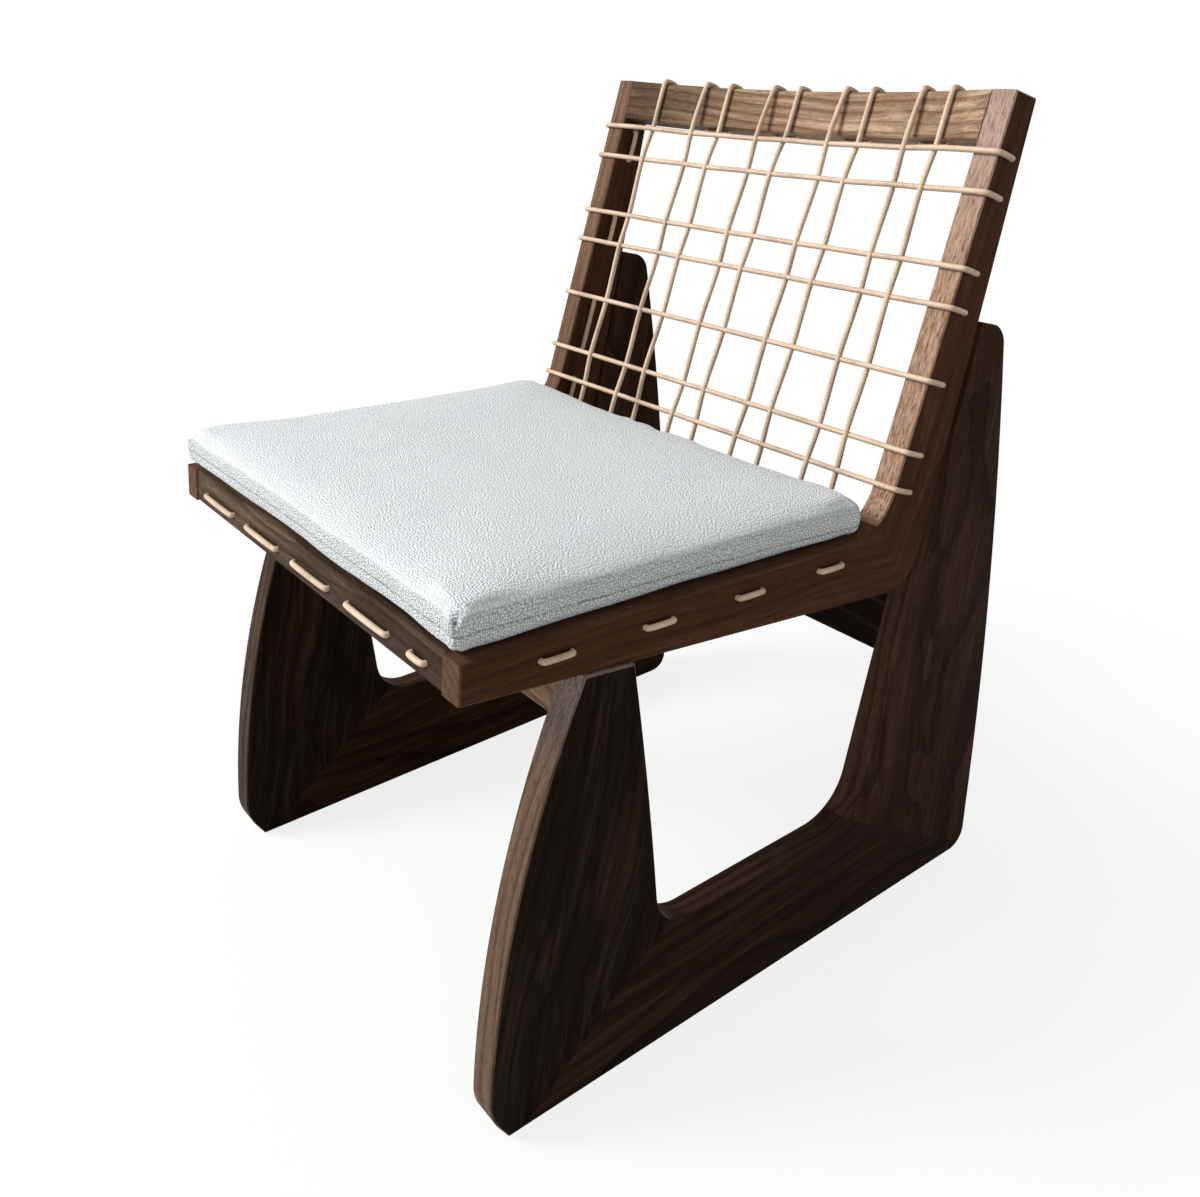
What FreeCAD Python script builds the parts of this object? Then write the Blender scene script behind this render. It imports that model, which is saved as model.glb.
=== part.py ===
import FreeCAD
import Part
import math
import os

# Easy chair with two board leg frames, two mitred side frames laced with cord, and a loose seat cushion.
# Lengths are in millimetres. X is to the sitter's left, Y to the back and Z up, from the floor's middle.
# Right pieces lie at positive X, which is the right of someone who faces the chair.

# Seat frame and back
seat_frame_width = 530.0
side_board_thickness = 25.0
seat_front_reach = 294.1
seat_front_height = 438.0
seat_depth = 423.0
seat_slope_angle = 3.28
rail_front_height = 31.0
rail_front_rake = 4.0
rail_underside_angle = 7.03
post_length = 383.0
post_lean_angle = 20.17
post_back_lean_angle = 15.4
post_top_depth = 29.9
post_top_fall_angle = 16.0
inner_bend_radius = 54.0
outer_bend_radius = 40.0
edge_bevel = 1.3

# Leg frames
leg_board_thickness = 28.0
runner_length = 588.0
runner_offset = 4.9
runner_height = 117.5
front_toe_overhang = 16.0
front_toe_height = 29.0
front_toe_radius = 50.0
toe_mitre_setback = 12.0
front_leg_top_setback = 103.5
front_leg_top_width = 46.4
front_leg_bulge = 18.0
front_leg_foot_width = 176.0
front_leg_hollow = 2.3
back_leg_gap = 3.0
back_leg_height = 584.0
back_leg_top_depth = 32.5
back_leg_top_drop = 8.0
back_leg_bulge = 9.2
back_leg_heel_overhang = 2.0
back_leg_heel_height = 85.0
opening_front_radius = 42.0
opening_back_radius = 54.0
back_leg_top_radius = 23.0
heel_radius = 22.0
leg_seat_gap = 0.3

# Cross rails
front_rail_thickness = 24.0
front_rail_setback = 1.5
top_rail_height = 41.0
top_rail_thickness = 25.0
top_rail_bow = 20.0
rear_rail_thickness = 25.0
rear_rail_height = 50.0
rear_rail_drop = 2.0
stretcher_thickness = 24.0
stretcher_setback = 1.0
front_stretcher_height = 38.0
front_stretcher_drop = 1.5
front_stretcher_lean_angle = 25.0
rear_stretcher_height = 68.0
rear_stretcher_top = 345.0

# Tenons, loose tongues and dowels, with the clearance of their mortises and bores
joint_clearance = 0.3
tenon_length = 15.0
leg_tenon_length = 18.0
tenon_thickness = 10.0
tenon_shoulder = 6.0
tongue_thickness = 8.0
tongue_width = 34.0
tongue_length = 44.0
side_tongue_width = 24.0
side_tongue_length = 32.0
dowel_radius = 4.0
dowel_depth = 20.0
dowel_sides = 12
upper_dowel_drop = 32.0
lower_dowel_drop = 114.0

# Cord, its bored holes, and the places of its rows, uprights and seat runs
cord_radius = 2.6
cord_sides = 8
hole_clearance = 0.45
cord_standoff = 0.45
gentle_bend_angle = 25.0
close_bend_angle = 40.0
upright_offset = 3.4
row_offset = 3.2
weave_radius = 8.0
first_row_drop = 51.0
row_narrow_gap = 33.5
row_wide_gap = 63.3
row_hole_depth = 19.5
row_bow = 18.0
bow_radius = 60.0
bow_knee_share = 0.42
bow_flat_share = 0.9
tail_length = 26.0
upright_count = 9
first_upright_place = -190.4
upright_narrow_gap = 34.7
upright_wide_gap = 62.4
top_hole_depth = 14.0
first_front_hole_place = -213.0
front_stitch_length = 67.0
front_hole_gap = 35.0
last_stitch_length = 21.0
front_hole_drop = 18.5
seat_lacing_drop = 15.5
seat_row_count = 8
first_seat_row_place = 64.0
seat_stitch_length = 27.3
seat_stitch_pitch = 94.0
rear_turn_radius = 6.0
tail_hole_depth = 12.0
end_setback = 4.0

# Loose cushion
cushion_side_setback = 11.0
cushion_depth = 394.0
cushion_front_setback = 5.0
cushion_corner_height = 34.0
cushion_crown = 9.0
cushion_side_draw = 6.0
cushion_corner_radius = 10.0
cushion_top_radius = 9.0
cushion_foot_radius = 9.0
cushion_seat_gap = 0.5
cushion_side_spots = 5
round_step_angle = 45
crown_inset_shares = (0.3, 0.7)
crown_rise_shares = (0.55, 1.0)

# Shared cut and the limits of the tests that pick out edges and straight joins
cut_overrun = 10.0
parallel_share = 0.9
straight_bend_angle = 0.1


def unit(angle):
    """Direction in the Y-Z plane at an angle above level, in degrees."""
    return (math.cos(math.radians(angle)), math.sin(math.radians(angle)))


def moved(place, angle, distance):
    """The place that lies a distance along an angle from another, in the Y-Z plane."""
    direction = unit(angle)
    return (place[0] + distance * direction[0], place[1] + distance * direction[1])


def meet(first, first_angle, second, second_angle):
    """Where two lines in the Y-Z plane cross, each given by a place and an angle."""
    a = unit(first_angle)
    b = unit(second_angle)
    turn = a[0] * b[1] - a[1] * b[0]
    reach = ((second[0] - first[0]) * b[1] - (second[1] - first[1]) * b[0]) / turn
    return moved(first, first_angle, reach)


def angle_between(first, second):
    """Angle above level of the line from one place to another, in degrees."""
    return math.degrees(math.atan2(second[1] - first[1], second[0] - first[0]))


def distance_between(first, second):
    """Length of the line from one place to another in the Y-Z plane."""
    return math.hypot(second[0] - first[0], second[1] - first[1])


def middle(first, second):
    """The place halfway between two others in the Y-Z plane."""
    return ((first[0] + second[0]) / 2, (first[1] + second[1]) / 2)


# Places that several pieces share
half_seat = seat_frame_width / 2
inner_face = half_seat - side_board_thickness
rail_front_top = (-seat_front_reach, seat_front_height)
rail_front_bottom = (-seat_front_reach - rail_front_rake, seat_front_height - rail_front_height)
bend_inner = (
    rail_front_top[0] + seat_depth,
    rail_front_top[1] - seat_depth * math.tan(math.radians(seat_slope_angle)),
)
post_angle = 90 - post_lean_angle
post_back_angle = 90 - post_back_lean_angle
post_top_front = moved(bend_inner, post_angle, post_length)
post_top_back = moved(post_top_front, -post_top_fall_angle, post_top_depth)
bend_outer = meet(rail_front_bottom, -rail_underside_angle, post_top_back, post_back_angle)
back_turn = FreeCAD.Rotation(FreeCAD.Vector(1, 0, 0), -post_lean_angle)
seat_turn = FreeCAD.Rotation(FreeCAD.Vector(1, 0, 0), -seat_slope_angle)


def in_space(x, place):
    """A vector at X for a place in the Y-Z plane."""
    return FreeCAD.Vector(x, place[0], place[1])


def on_back(x, depth, drop):
    """A vector at X, a depth behind the posts' front faces and a drop below their tops."""
    return in_space(x, post_top_front) + back_turn.multVec(FreeCAD.Vector(0, depth, -drop))


def on_seat(x, along, rise):
    """A vector at X, a way along the side rails' top edges and a rise above them."""
    return in_space(x, rail_front_top) + seat_turn.multVec(FreeCAD.Vector(0, along, rise))


def outline_face(x, pieces):
    """Face at X whose outline is made of places, with a place in brackets as an arc's middle."""
    edges = []
    start = pieces[0]
    bulge = None
    for piece in pieces[1:] + [pieces[0]]:
        if isinstance(piece, list):
            bulge = piece[0]
            continue
        if bulge is None:
            edges.append(Part.makeLine(in_space(x, start), in_space(x, piece)))
        else:
            edges.append(Part.Arc(in_space(x, start), in_space(x, bulge), in_space(x, piece)).toShape())
        start = piece
        bulge = None
    return Part.Face(Part.Wire(edges))


def bulged(first, second, bulge):
    """Middle of an arc between two places that stands off their line to its left by the bulge."""
    return [moved(middle(first, second), angle_between(first, second) + 90, bulge)]


def corner_edge(solid, place):
    """The edge of a board along X that stands at a place in the Y-Z plane."""
    def offset(edge):
        spot = edge.CenterOfMass
        return math.hypot(spot.y - place[0], spot.z - place[1])
    across = [edge for edge in solid.Edges if abs(edge.tangentAt(edge.FirstParameter).x) > parallel_share]
    return min(across, key=offset)


def rounded(solid, corners):
    """The solid with the edge at each place rounded by its radius."""
    for place, radius in corners:
        solid = solid.makeFillet(radius, [corner_edge(solid, place)])
    return solid


def eased(solid, low, high):
    """The solid with the outlines of its faces at two X places eased."""
    def on_outline(edge):
        box = edge.BoundBox
        flat = box.XLength < joint_clearance
        return flat and min(abs(box.XMin - low), abs(box.XMin - high)) < joint_clearance
    return solid.makeChamfer(edge_bevel, [edge for edge in solid.Edges if on_outline(edge)])


def prism(places):
    """A block of the outline through places in the Y-Z plane, wider than the whole seat."""
    reach = seat_frame_width
    return outline_face(-reach, places).extrude(FreeCAD.Vector(2 * reach, 0, 0))


def turned_box(center, angle, sizes):
    """A box round a centre, sized across X, along an angle in the Y-Z plane, and square to it."""
    width, length, height = sizes
    box = Part.makeBox(width, length, height, FreeCAD.Vector(-width / 2, -length / 2, -height / 2))
    box.Placement = FreeCAD.Placement(center, FreeCAD.Rotation(FreeCAD.Vector(1, 0, 0), angle))
    return box


def grown(sizes, by):
    """Three sizes, each larger by twice a clearance."""
    return [size + 2 * by for size in sizes]


def cord_rows():
    """Drops of the seven cord rows of the back below the posts' tops."""
    gaps = [row_narrow_gap, row_wide_gap, row_narrow_gap, row_wide_gap, row_wide_gap, row_narrow_gap]
    drops = [first_row_drop]
    for gap in gaps:
        drops.append(drops[-1] + gap)
    return drops


def alternate(start, first_gap, second_gap, count):
    """Places that step by two gaps in turn."""
    places = [start]
    for index in range(count - 1):
        places.append(places[-1] + (second_gap if index % 2 else first_gap))
    return places


row_drops = cord_rows()
upright_places = alternate(
    first_upright_place, upright_wide_gap, upright_narrow_gap, upright_count
)
front_hole_places = alternate(
    first_front_hole_place, front_stitch_length, front_hole_gap, upright_count
)
front_hole_places.append(front_hole_places[-1] + last_stitch_length)
seat_row_places = alternate(
    first_seat_row_place, seat_stitch_length, seat_stitch_pitch - seat_stitch_length, seat_row_count
)
hole_radius = cord_radius + hole_clearance
run_height = cord_radius + cord_standoff


def ring_spots(center, way, radius, sides):
    """The corners of a level-sided ring round a centre, square to a way, for a round of the radius."""
    corner_radius = radius * math.sqrt(2 * math.pi / (sides * math.sin(2 * math.pi / sides)))
    upright = abs(way.z) > parallel_share * way.Length
    aside = FreeCAD.Vector(0, 1, 0) if upright else FreeCAD.Vector(0, 0, 1)
    across = way.cross(aside).normalize() * corner_radius
    turns = [FreeCAD.Rotation(way, (side + 1 / 2) * 360 / sides) for side in range(sides)]
    return [center + turn.multVec(across) for turn in turns]


def ring_face(spots):
    """The flat face inside a ring of corners."""
    return Part.Face(Part.makePolygon(spots + [spots[0]]))


def rod(start, way, radius, sides):
    """A rod with level sides that has a round one's section."""
    return ring_face(ring_spots(start, way, radius, sides)).extrude(way)


def bored(solid, start, end):
    """The solid with a cord hole from one vector to another."""
    way = end - start
    extra = FreeCAD.Vector(way).normalize() * cut_overrun
    return solid.cut(rod(start - extra, way + extra * 2, hole_radius, cord_sides))


# Side frames: seat side rail and back post, mitred at the bend
board_middle = inner_face + side_board_thickness / 2
side_mitre_angle = angle_between(bend_inner, bend_outer)
side_tongue_place = middle(bend_inner, bend_outer)


def side_frame_blank():
    """The whole right side frame before it is parted at its mitre."""
    outline = [rail_front_bottom, bend_outer, post_top_back, post_top_front, bend_inner, rail_front_top]
    blank = outline_face(inner_face, outline).extrude(FreeCAD.Vector(side_board_thickness, 0, 0))
    blank = rounded(blank, [(bend_inner, inner_bend_radius), (bend_outer, outer_bend_radius)])
    return eased(blank, inner_face, half_seat)


def back_region():
    """The space behind the side frame's mitre."""
    reach = seat_depth
    start = moved(bend_inner, side_mitre_angle, -reach)
    end = moved(bend_outer, side_mitre_angle, reach)
    return prism([start, end, moved(end, side_mitre_angle + 90, reach),
                  moved(start, side_mitre_angle + 90, reach)])


def side_tongue(grow=0):
    """Loose tongue across the right side frame's mitre, or its mortise when grown."""
    sizes = grown([tongue_thickness, side_tongue_width, side_tongue_length], grow)
    return turned_box(in_space(board_middle, side_tongue_place), side_mitre_angle, sizes)


def seat_side_rail():
    """Right seat side rail with its mortises and cord holes."""
    rail = side_frame_blank().cut(back_region())
    rail = rail.cut(side_tongue(joint_clearance)).cut(front_dowel(joint_clearance))
    rail = rail.cut(front_rail_tenon(joint_clearance)).cut(rear_rail_tenon(joint_clearance))
    for along in seat_row_places:
        start = on_seat(inner_face, along, -seat_lacing_drop)
        rail = bored(rail, start, on_seat(half_seat, along, -seat_lacing_drop))
    return rail


def back_post():
    """Right back post with its mortises and cord holes."""
    post = side_frame_blank().common(back_region())
    post = post.cut(side_tongue(joint_clearance)).cut(top_rail_tenon(joint_clearance))
    for drop in (upper_dowel_drop, lower_dowel_drop):
        post = post.cut(back_dowel(drop, joint_clearance))
    for drop in row_drops:
        start = on_back(inner_face, row_hole_depth, drop)
        post = bored(post, start, on_back(half_seat, row_hole_depth, drop))
    return post


def tail_bore():
    """Blind hole in the left post for the end of the back's cord."""
    start = on_back(-inner_face + cut_overrun, row_hole_depth, row_drops[-1] + tail_length)
    return rod(start, FreeCAD.Vector(-cut_overrun - tail_hole_depth, 0, 0), hole_radius, cord_sides)


# Leg frames: front leg, runner and back leg, mitred at the feet
leg_outer_face = inner_face + leg_board_thickness
leg_middle = inner_face + leg_board_thickness / 2
toe = (runner_offset - runner_length / 2, 0.0)
heel = (runner_offset + runner_length / 2, 0.0)
toe_top = (toe[0] - front_toe_overhang, front_toe_height)
heel_top = (heel[0] + back_leg_heel_overhang, back_leg_heel_height)
front_leg_top_front = moved(rail_front_bottom, -rail_underside_angle, front_leg_top_setback)
front_leg_top_front = moved(front_leg_top_front, -90, leg_seat_gap)
front_leg_top_back = moved(front_leg_top_front, -rail_underside_angle, front_leg_top_width)
toe_mitre_foot = (toe[0] + toe_mitre_setback, 0.0)
opening_front = (toe_top[0] + front_leg_foot_width, runner_height)
leg_line_foot = moved(post_top_back, -post_back_lean_angle, back_leg_gap)
opening_back = meet((0.0, runner_height), 0, leg_line_foot, post_back_angle)
back_leg_top_front = meet((0.0, back_leg_height), 0, leg_line_foot, post_back_angle)
back_leg_top_back = (back_leg_top_front[0] + back_leg_top_depth, back_leg_height - back_leg_top_drop)


def leg_frame_blank():
    """The whole right leg frame before it is parted at its mitres."""
    outline = [
        toe, heel, heel_top,
        bulged(heel_top, back_leg_top_back, -back_leg_bulge), back_leg_top_back, back_leg_top_front,
        opening_back, opening_front,
        bulged(opening_front, front_leg_top_back, -front_leg_hollow), front_leg_top_back,
        front_leg_top_front,
        bulged(front_leg_top_front, toe_top, -front_leg_bulge), toe_top,
    ]
    blank = outline_face(inner_face, outline).extrude(FreeCAD.Vector(leg_board_thickness, 0, 0))
    blank = rounded(blank, [
        (opening_front, opening_front_radius),
        (opening_back, opening_back_radius),
        (back_leg_top_back, back_leg_top_radius),
        (heel, heel_radius),
        (toe_top, front_toe_radius),
    ])
    return eased(blank, inner_face, leg_outer_face)


def leg_region(foot, corner):
    """The space above the mitre from a foot to a corner of the opening, on the foot's side."""
    angle = angle_between(foot, corner)
    low = moved(foot, angle, -runner_length)
    high = meet(foot, angle, (0.0, 0.0), 90)
    top = runner_length + back_leg_height
    return prism([low, high, (0.0, top), (low[0], top)])


def leg_tongue(foot, corner, grow):
    """Loose tongue across a leg frame's mitre, or its mortise when grown."""
    sizes = grown([tongue_thickness, tongue_width, tongue_length], grow)
    return turned_box(in_space(leg_middle, middle(foot, corner)), angle_between(foot, corner), sizes)


def toe_tongue(grow=0):
    """Loose tongue of the right front mitre."""
    return leg_tongue(toe_mitre_foot, opening_front, grow)


def heel_tongue(grow=0):
    """Loose tongue of the right rear mitre."""
    return leg_tongue(heel, opening_back, grow)


def front_leg():
    """Right front leg, from the front mitre up to the seat side rail."""
    leg = leg_frame_blank().common(leg_region(toe_mitre_foot, opening_front))
    leg = leg.cut(toe_tongue(joint_clearance)).cut(front_dowel(joint_clearance))
    return leg.cut(front_stretcher_tenon(joint_clearance))


def runner():
    """Right runner between the two mitres."""
    board = leg_frame_blank().cut(leg_region(toe_mitre_foot, opening_front))
    board = board.cut(leg_region(heel, opening_back))
    return board.cut(toe_tongue(joint_clearance)).cut(heel_tongue(joint_clearance))


def back_leg():
    """Right back leg, from the rear mitre up behind the back post."""
    leg = leg_frame_blank().common(leg_region(heel, opening_back))
    leg = leg.cut(heel_tongue(joint_clearance)).cut(rear_stretcher_tenon(joint_clearance))
    for drop in (upper_dowel_drop, lower_dowel_drop):
        leg = leg.cut(back_dowel(drop, joint_clearance))
    return leg


def dowel(seat, angle, grow):
    """A dowel centred on a seat, along an angle in the Y-Z plane, or its bore when grown."""
    half_length = dowel_depth + grow
    start = in_space(board_middle, moved(seat, angle, -half_length))
    way = in_space(0, unit(angle)) * (2 * half_length)
    return rod(start, way, dowel_radius + grow, dowel_sides)


def front_dowel(grow=0):
    """Dowel between the right front leg's top and the seat side rail."""
    return dowel(middle(front_leg_top_front, front_leg_top_back), 90 - rail_underside_angle, grow)


def back_dowel(drop, grow=0):
    """Dowel between the right back post and the back leg, at a drop below the leg's top."""
    gap_middle = moved(post_top_back, -post_back_lean_angle, back_leg_gap / 2)
    seat = meet((0.0, back_leg_height - drop), 0, gap_middle, post_back_angle)
    return dowel(seat, -post_back_lean_angle, grow)


def upper_back_dowel():
    """Upper dowel of the right back leg."""
    return back_dowel(upper_dowel_drop)


def lower_back_dowel():
    """Lower dowel of the right back leg."""
    return back_dowel(lower_dowel_drop)


# Cross rails
front_rail_outline = [
    moved(rail_front_top, -seat_slope_angle, front_rail_setback),
    moved(rail_front_bottom, -rail_underside_angle, front_rail_setback),
    moved(rail_front_bottom, -rail_underside_angle, front_rail_setback + front_rail_thickness),
    moved(rail_front_top, -seat_slope_angle, front_rail_setback + front_rail_thickness),
]
rear_hole_along = seat_depth / unit(seat_slope_angle)[0]
back_seat_angle = math.radians(post_angle + seat_slope_angle)
rear_turn_along = (
    rear_hole_along - seat_lacing_drop / math.tan(back_seat_angle) - run_height / math.sin(back_seat_angle)
)
rear_face_along = rear_turn_along - rear_turn_radius * math.tan(back_seat_angle / 2)
rear_rail_front_along = rear_face_along - rear_rail_thickness
seat_run_entry = front_rail_setback + front_rail_thickness + run_height
seat_run_exit = rear_rail_front_along - run_height


def cross_board(outline):
    """A board between the inner faces, with its long edges eased."""
    board = outline_face(-inner_face, outline).extrude(FreeCAD.Vector(2 * inner_face, 0, 0))
    long_edges = [edge for edge in board.Edges if edge.Length > inner_face]
    return board.makeChamfer(edge_bevel, long_edges)


def end_tenon(places, length, grow):
    """Stub tenon on the right end of a board with four corners, or its mortise when grown."""
    center = middle(middle(places[0], places[2]), middle(places[1], places[3]))
    height = distance_between(places[0], places[1]) - 2 * tenon_shoulder
    angle = angle_between(places[1], places[0])
    sizes = grown([length + cut_overrun, height, tenon_thickness], grow)
    x = inner_face + (length - cut_overrun) / 2
    return turned_box(in_space(x, center), angle, sizes)


def with_tenons(board, tenon):
    """A board joined to its right tenon and the mirrored one."""
    return board.fuse([tenon, mirrored(tenon)]).removeSplitter()


def front_rail_tenon(grow=0):
    """Right tenon of the front rail."""
    return end_tenon(front_rail_outline, tenon_length, grow)


def front_rail():
    """Front rail with ten cord holes."""
    rail = with_tenons(cross_board(front_rail_outline), front_rail_tenon())
    for x in front_hole_places:
        start = on_seat(x, 0, -front_hole_drop)
        rail = bored(rail, start, on_seat(x, front_rail_thickness, -front_hole_drop))
    return rail


def seat_place(along, rise):
    """The place in the Y-Z plane of a way along the side rails' tops and a rise above them."""
    spot = on_seat(0, along, rise)
    return (spot.y, spot.z)


rear_rail_outline = [
    seat_place(rear_rail_front_along, -rear_rail_drop),
    seat_place(rear_rail_front_along, -rear_rail_drop - rear_rail_height),
    seat_place(rear_face_along, -rear_rail_drop - rear_rail_height),
    seat_place(rear_face_along, -rear_rail_drop),
]


def rear_rail_tenon(grow=0):
    """Right tenon of the rear seat rail."""
    return end_tenon(rear_rail_outline, tenon_length, grow)


def rear_seat_rail():
    """Rear seat rail with a hole for each upright cord."""
    rail = with_tenons(cross_board(rear_rail_outline), rear_rail_tenon())
    for x in upright_places:
        start = on_seat(x, rear_rail_front_along, -seat_lacing_drop)
        rail = bored(rail, start, on_seat(x, rear_face_along, -seat_lacing_drop))
    return rail


front_stretcher_angle = 90 - front_stretcher_lean_angle
front_stretcher_top = moved(
    moved(front_leg_top_front, front_stretcher_angle, -front_stretcher_drop),
    front_stretcher_angle - 90, stretcher_setback,
)
front_stretcher_low = moved(front_stretcher_top, front_stretcher_angle, -front_stretcher_height)
front_stretcher_outline = [
    front_stretcher_top,
    front_stretcher_low,
    moved(front_stretcher_low, front_stretcher_angle - 90, stretcher_thickness),
    moved(front_stretcher_top, front_stretcher_angle - 90, stretcher_thickness),
]
rear_stretcher_high = moved(
    meet((0.0, rear_stretcher_top), 0, leg_line_foot, post_back_angle),
    -post_back_lean_angle, stretcher_setback,
)
rear_stretcher_low = moved(rear_stretcher_high, post_back_angle, -rear_stretcher_height)
rear_stretcher_outline = [
    rear_stretcher_high,
    rear_stretcher_low,
    moved(rear_stretcher_low, -post_back_lean_angle, stretcher_thickness),
    moved(rear_stretcher_high, -post_back_lean_angle, stretcher_thickness),
]


def front_stretcher_tenon(grow=0):
    """Right tenon of the front stretcher."""
    return end_tenon(front_stretcher_outline, leg_tenon_length, grow)


def rear_stretcher_tenon(grow=0):
    """Right tenon of the rear stretcher."""
    return end_tenon(rear_stretcher_outline, leg_tenon_length, grow)


def front_stretcher():
    """Front stretcher between the leg frames."""
    return with_tenons(cross_board(front_stretcher_outline), front_stretcher_tenon())


def rear_stretcher():
    """Rear stretcher between the leg frames."""
    return with_tenons(cross_board(rear_stretcher_outline), rear_stretcher_tenon())


top_rail_radius = (inner_face ** 2 + top_rail_bow ** 2) / (2 * top_rail_bow)


def top_rail_depth(x):
    """How far the top rail's front face lies behind the posts' front faces at X."""
    return top_rail_bow - top_rail_radius + math.sqrt(top_rail_radius ** 2 - x ** 2)


def top_rail_tenon(grow=0):
    """Right tenon of the top rail."""
    height = top_rail_height - 2 * tenon_shoulder
    sizes = grown([tenon_length + cut_overrun, tenon_thickness, height], grow)
    x = inner_face + (tenon_length - cut_overrun) / 2
    return turned_box(on_back(x, top_rail_thickness / 2, top_rail_height / 2), -post_lean_angle, sizes)


def top_rail():
    """Top rail, bowed to the back, with a hole for each upright cord."""
    front = [FreeCAD.Vector(x, depth, 0) for x, depth in (
        (-inner_face, 0), (0, top_rail_bow), (inner_face, 0))]
    back = [spot + FreeCAD.Vector(0, top_rail_thickness, 0) for spot in front]
    edges = [
        Part.Arc(*front).toShape(),
        Part.makeLine(front[2], back[2]),
        Part.Arc(*reversed(back)).toShape(),
        Part.makeLine(back[0], front[0]),
    ]
    rail = Part.Face(Part.Wire(edges)).extrude(FreeCAD.Vector(0, 0, -top_rail_height))
    rail = rail.makeChamfer(edge_bevel, [edge for edge in rail.Edges if edge.Length > inner_face])
    rail.Placement = FreeCAD.Placement(in_space(0, post_top_front), back_turn)
    rail = with_tenons(rail, top_rail_tenon())
    for x in upright_places:
        depth = top_rail_depth(x) + top_hole_depth
        rail = bored(rail, on_back(x, depth, 0), on_back(x, depth, top_rail_height))
    return rail


# Cords, each one unbroken length with level sides
def bend_line(route):
    """The line of a cord through a route of spots, each rounded by the radius of its bend."""
    spots = [spot for spot, radius in route]
    line = [spots[0]]
    for index in range(1, len(route) - 1):
        spot, radius = route[index]
        before = FreeCAD.Vector(spots[index - 1] - spot).normalize()
        after = FreeCAD.Vector(spots[index + 1] - spot).normalize()
        half_angle = before.getAngle(after) / 2
        turn = 180 - math.degrees(2 * half_angle)
        if turn < straight_bend_angle:
            continue
        reach = radius / math.tan(half_angle)
        crown = radius / math.sin(half_angle) - radius
        if turn > gentle_bend_angle:
            line.append(spot + before * reach)
        if turn < gentle_bend_angle or turn > close_bend_angle:
            line.append(spot + FreeCAD.Vector(before + after).normalize() * crown)
        if turn > gentle_bend_angle:
            line.append(spot + after * reach)
    line.append(spots[-1])
    return line


def cord(route):
    """A cord through a route of spots, each with the radius of its bend, mitred along its line."""
    line = bend_line(route)
    ways = [FreeCAD.Vector(end - start).normalize() for start, end in zip(line, line[1:])]
    ring = ring_spots(line[0], ways[0], cord_radius, cord_sides)
    faces = [ring_face(ring)]
    for index, way in enumerate(ways):
        facing = way + ways[index + 1] if index + 1 < len(ways) else way
        end = line[index + 1]
        next_ring = [spot + way * ((end - spot).dot(facing) / way.dot(facing)) for spot in ring]
        for side in range(cord_sides):
            after = (side + 1) % cord_sides
            faces.append(ring_face([ring[side], ring[after], next_ring[after], next_ring[side]]))
        ring = next_ring
    faces.append(ring_face(ring))
    solid = Part.Solid(Part.Shell(faces))
    if solid.Volume < 0:
        solid.reverse()
    length = sum(FreeCAD.Vector(end - start).Length for start, end in zip(line, line[1:]))
    share = solid.Volume / (length * math.pi * cord_radius ** 2)
    print("cord length", round(length), "volume share", round(share, 4))
    return solid


def row_line_depth(x, drop):
    """How far a cord row lies behind its line at the posts, where the uprights draw it back."""
    bow = row_bow * (1 - drop / row_drops[-1])
    knee = inner_face * bow_knee_share
    reach = max(0.0, min(1.0, (inner_face - abs(x)) / (inner_face - knee)))
    return bow * bow_flat_share * reach - run_height


def passes_behind(row, index):
    """Whether an upright passes behind a row of the back."""
    return (row + index) % 2 == 0


def back_row_cord():
    """The cord of the seven rows, from the right post's top hole to the left post's lowest."""
    outside = half_seat + run_height
    inside = inner_face - run_height
    corner_radius = run_height + edge_bevel
    route = [(on_back(inner_face + end_setback, row_hole_depth, row_drops[0]), 0)]
    for index, drop in enumerate(row_drops):
        side = 1 if index % 2 == 0 else -1
        if index:
            route.append((on_back(side * inside, row_hole_depth, drop), run_height))
        route.append((on_back(side * outside, row_hole_depth, drop), run_height))
        route.append((on_back(side * outside, -run_height, drop), corner_radius))
        across = [(on_back(-inner_face, row_line_depth(inner_face, drop), drop), bow_radius)]
        for place, x in enumerate(upright_places):
            depth = row_line_depth(x, drop) + (-row_offset if passes_behind(index, place) else row_offset)
            across.append((on_back(x, depth, drop), weave_radius))
        across.append((on_back(inner_face, row_line_depth(inner_face, drop), drop), bow_radius))
        route.extend(reversed(across) if side > 0 else across)
        route.append((on_back(-side * outside, -run_height, drop), corner_radius))
        route.append((on_back(-side * outside, row_hole_depth, drop), run_height))
        route.append((on_back(-side * inside, row_hole_depth, drop), run_height))
    tail_drop = row_drops[-1] + tail_length
    route.append((on_back(-inside, row_hole_depth, tail_drop), run_height))
    route.append((on_back(-inner_face - tail_hole_depth + end_setback, row_hole_depth, tail_drop), 0))
    return cord(route)


def upright_spots(index):
    """Route of one upright, from its hole in the top rail down to the row below the others."""
    x = upright_places[index]
    rail_depth = top_rail_depth(x)
    spots = [
        (on_back(x, rail_depth + top_hole_depth, -run_height), run_height),
        (on_back(x, rail_depth - run_height, -run_height), run_height + edge_bevel),
    ]
    for row, drop in enumerate(row_drops):
        behind = passes_behind(row, index)
        depth = row_line_depth(x, drop) + (upright_offset if behind else -upright_offset)
        if behind and row == 0:
            under_rail = on_back(x, rail_depth - run_height, top_rail_height + hole_clearance)
            spots.append((under_rail, run_height))
        spots.append((on_back(x, depth, drop), weave_radius))
    return spots


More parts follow.
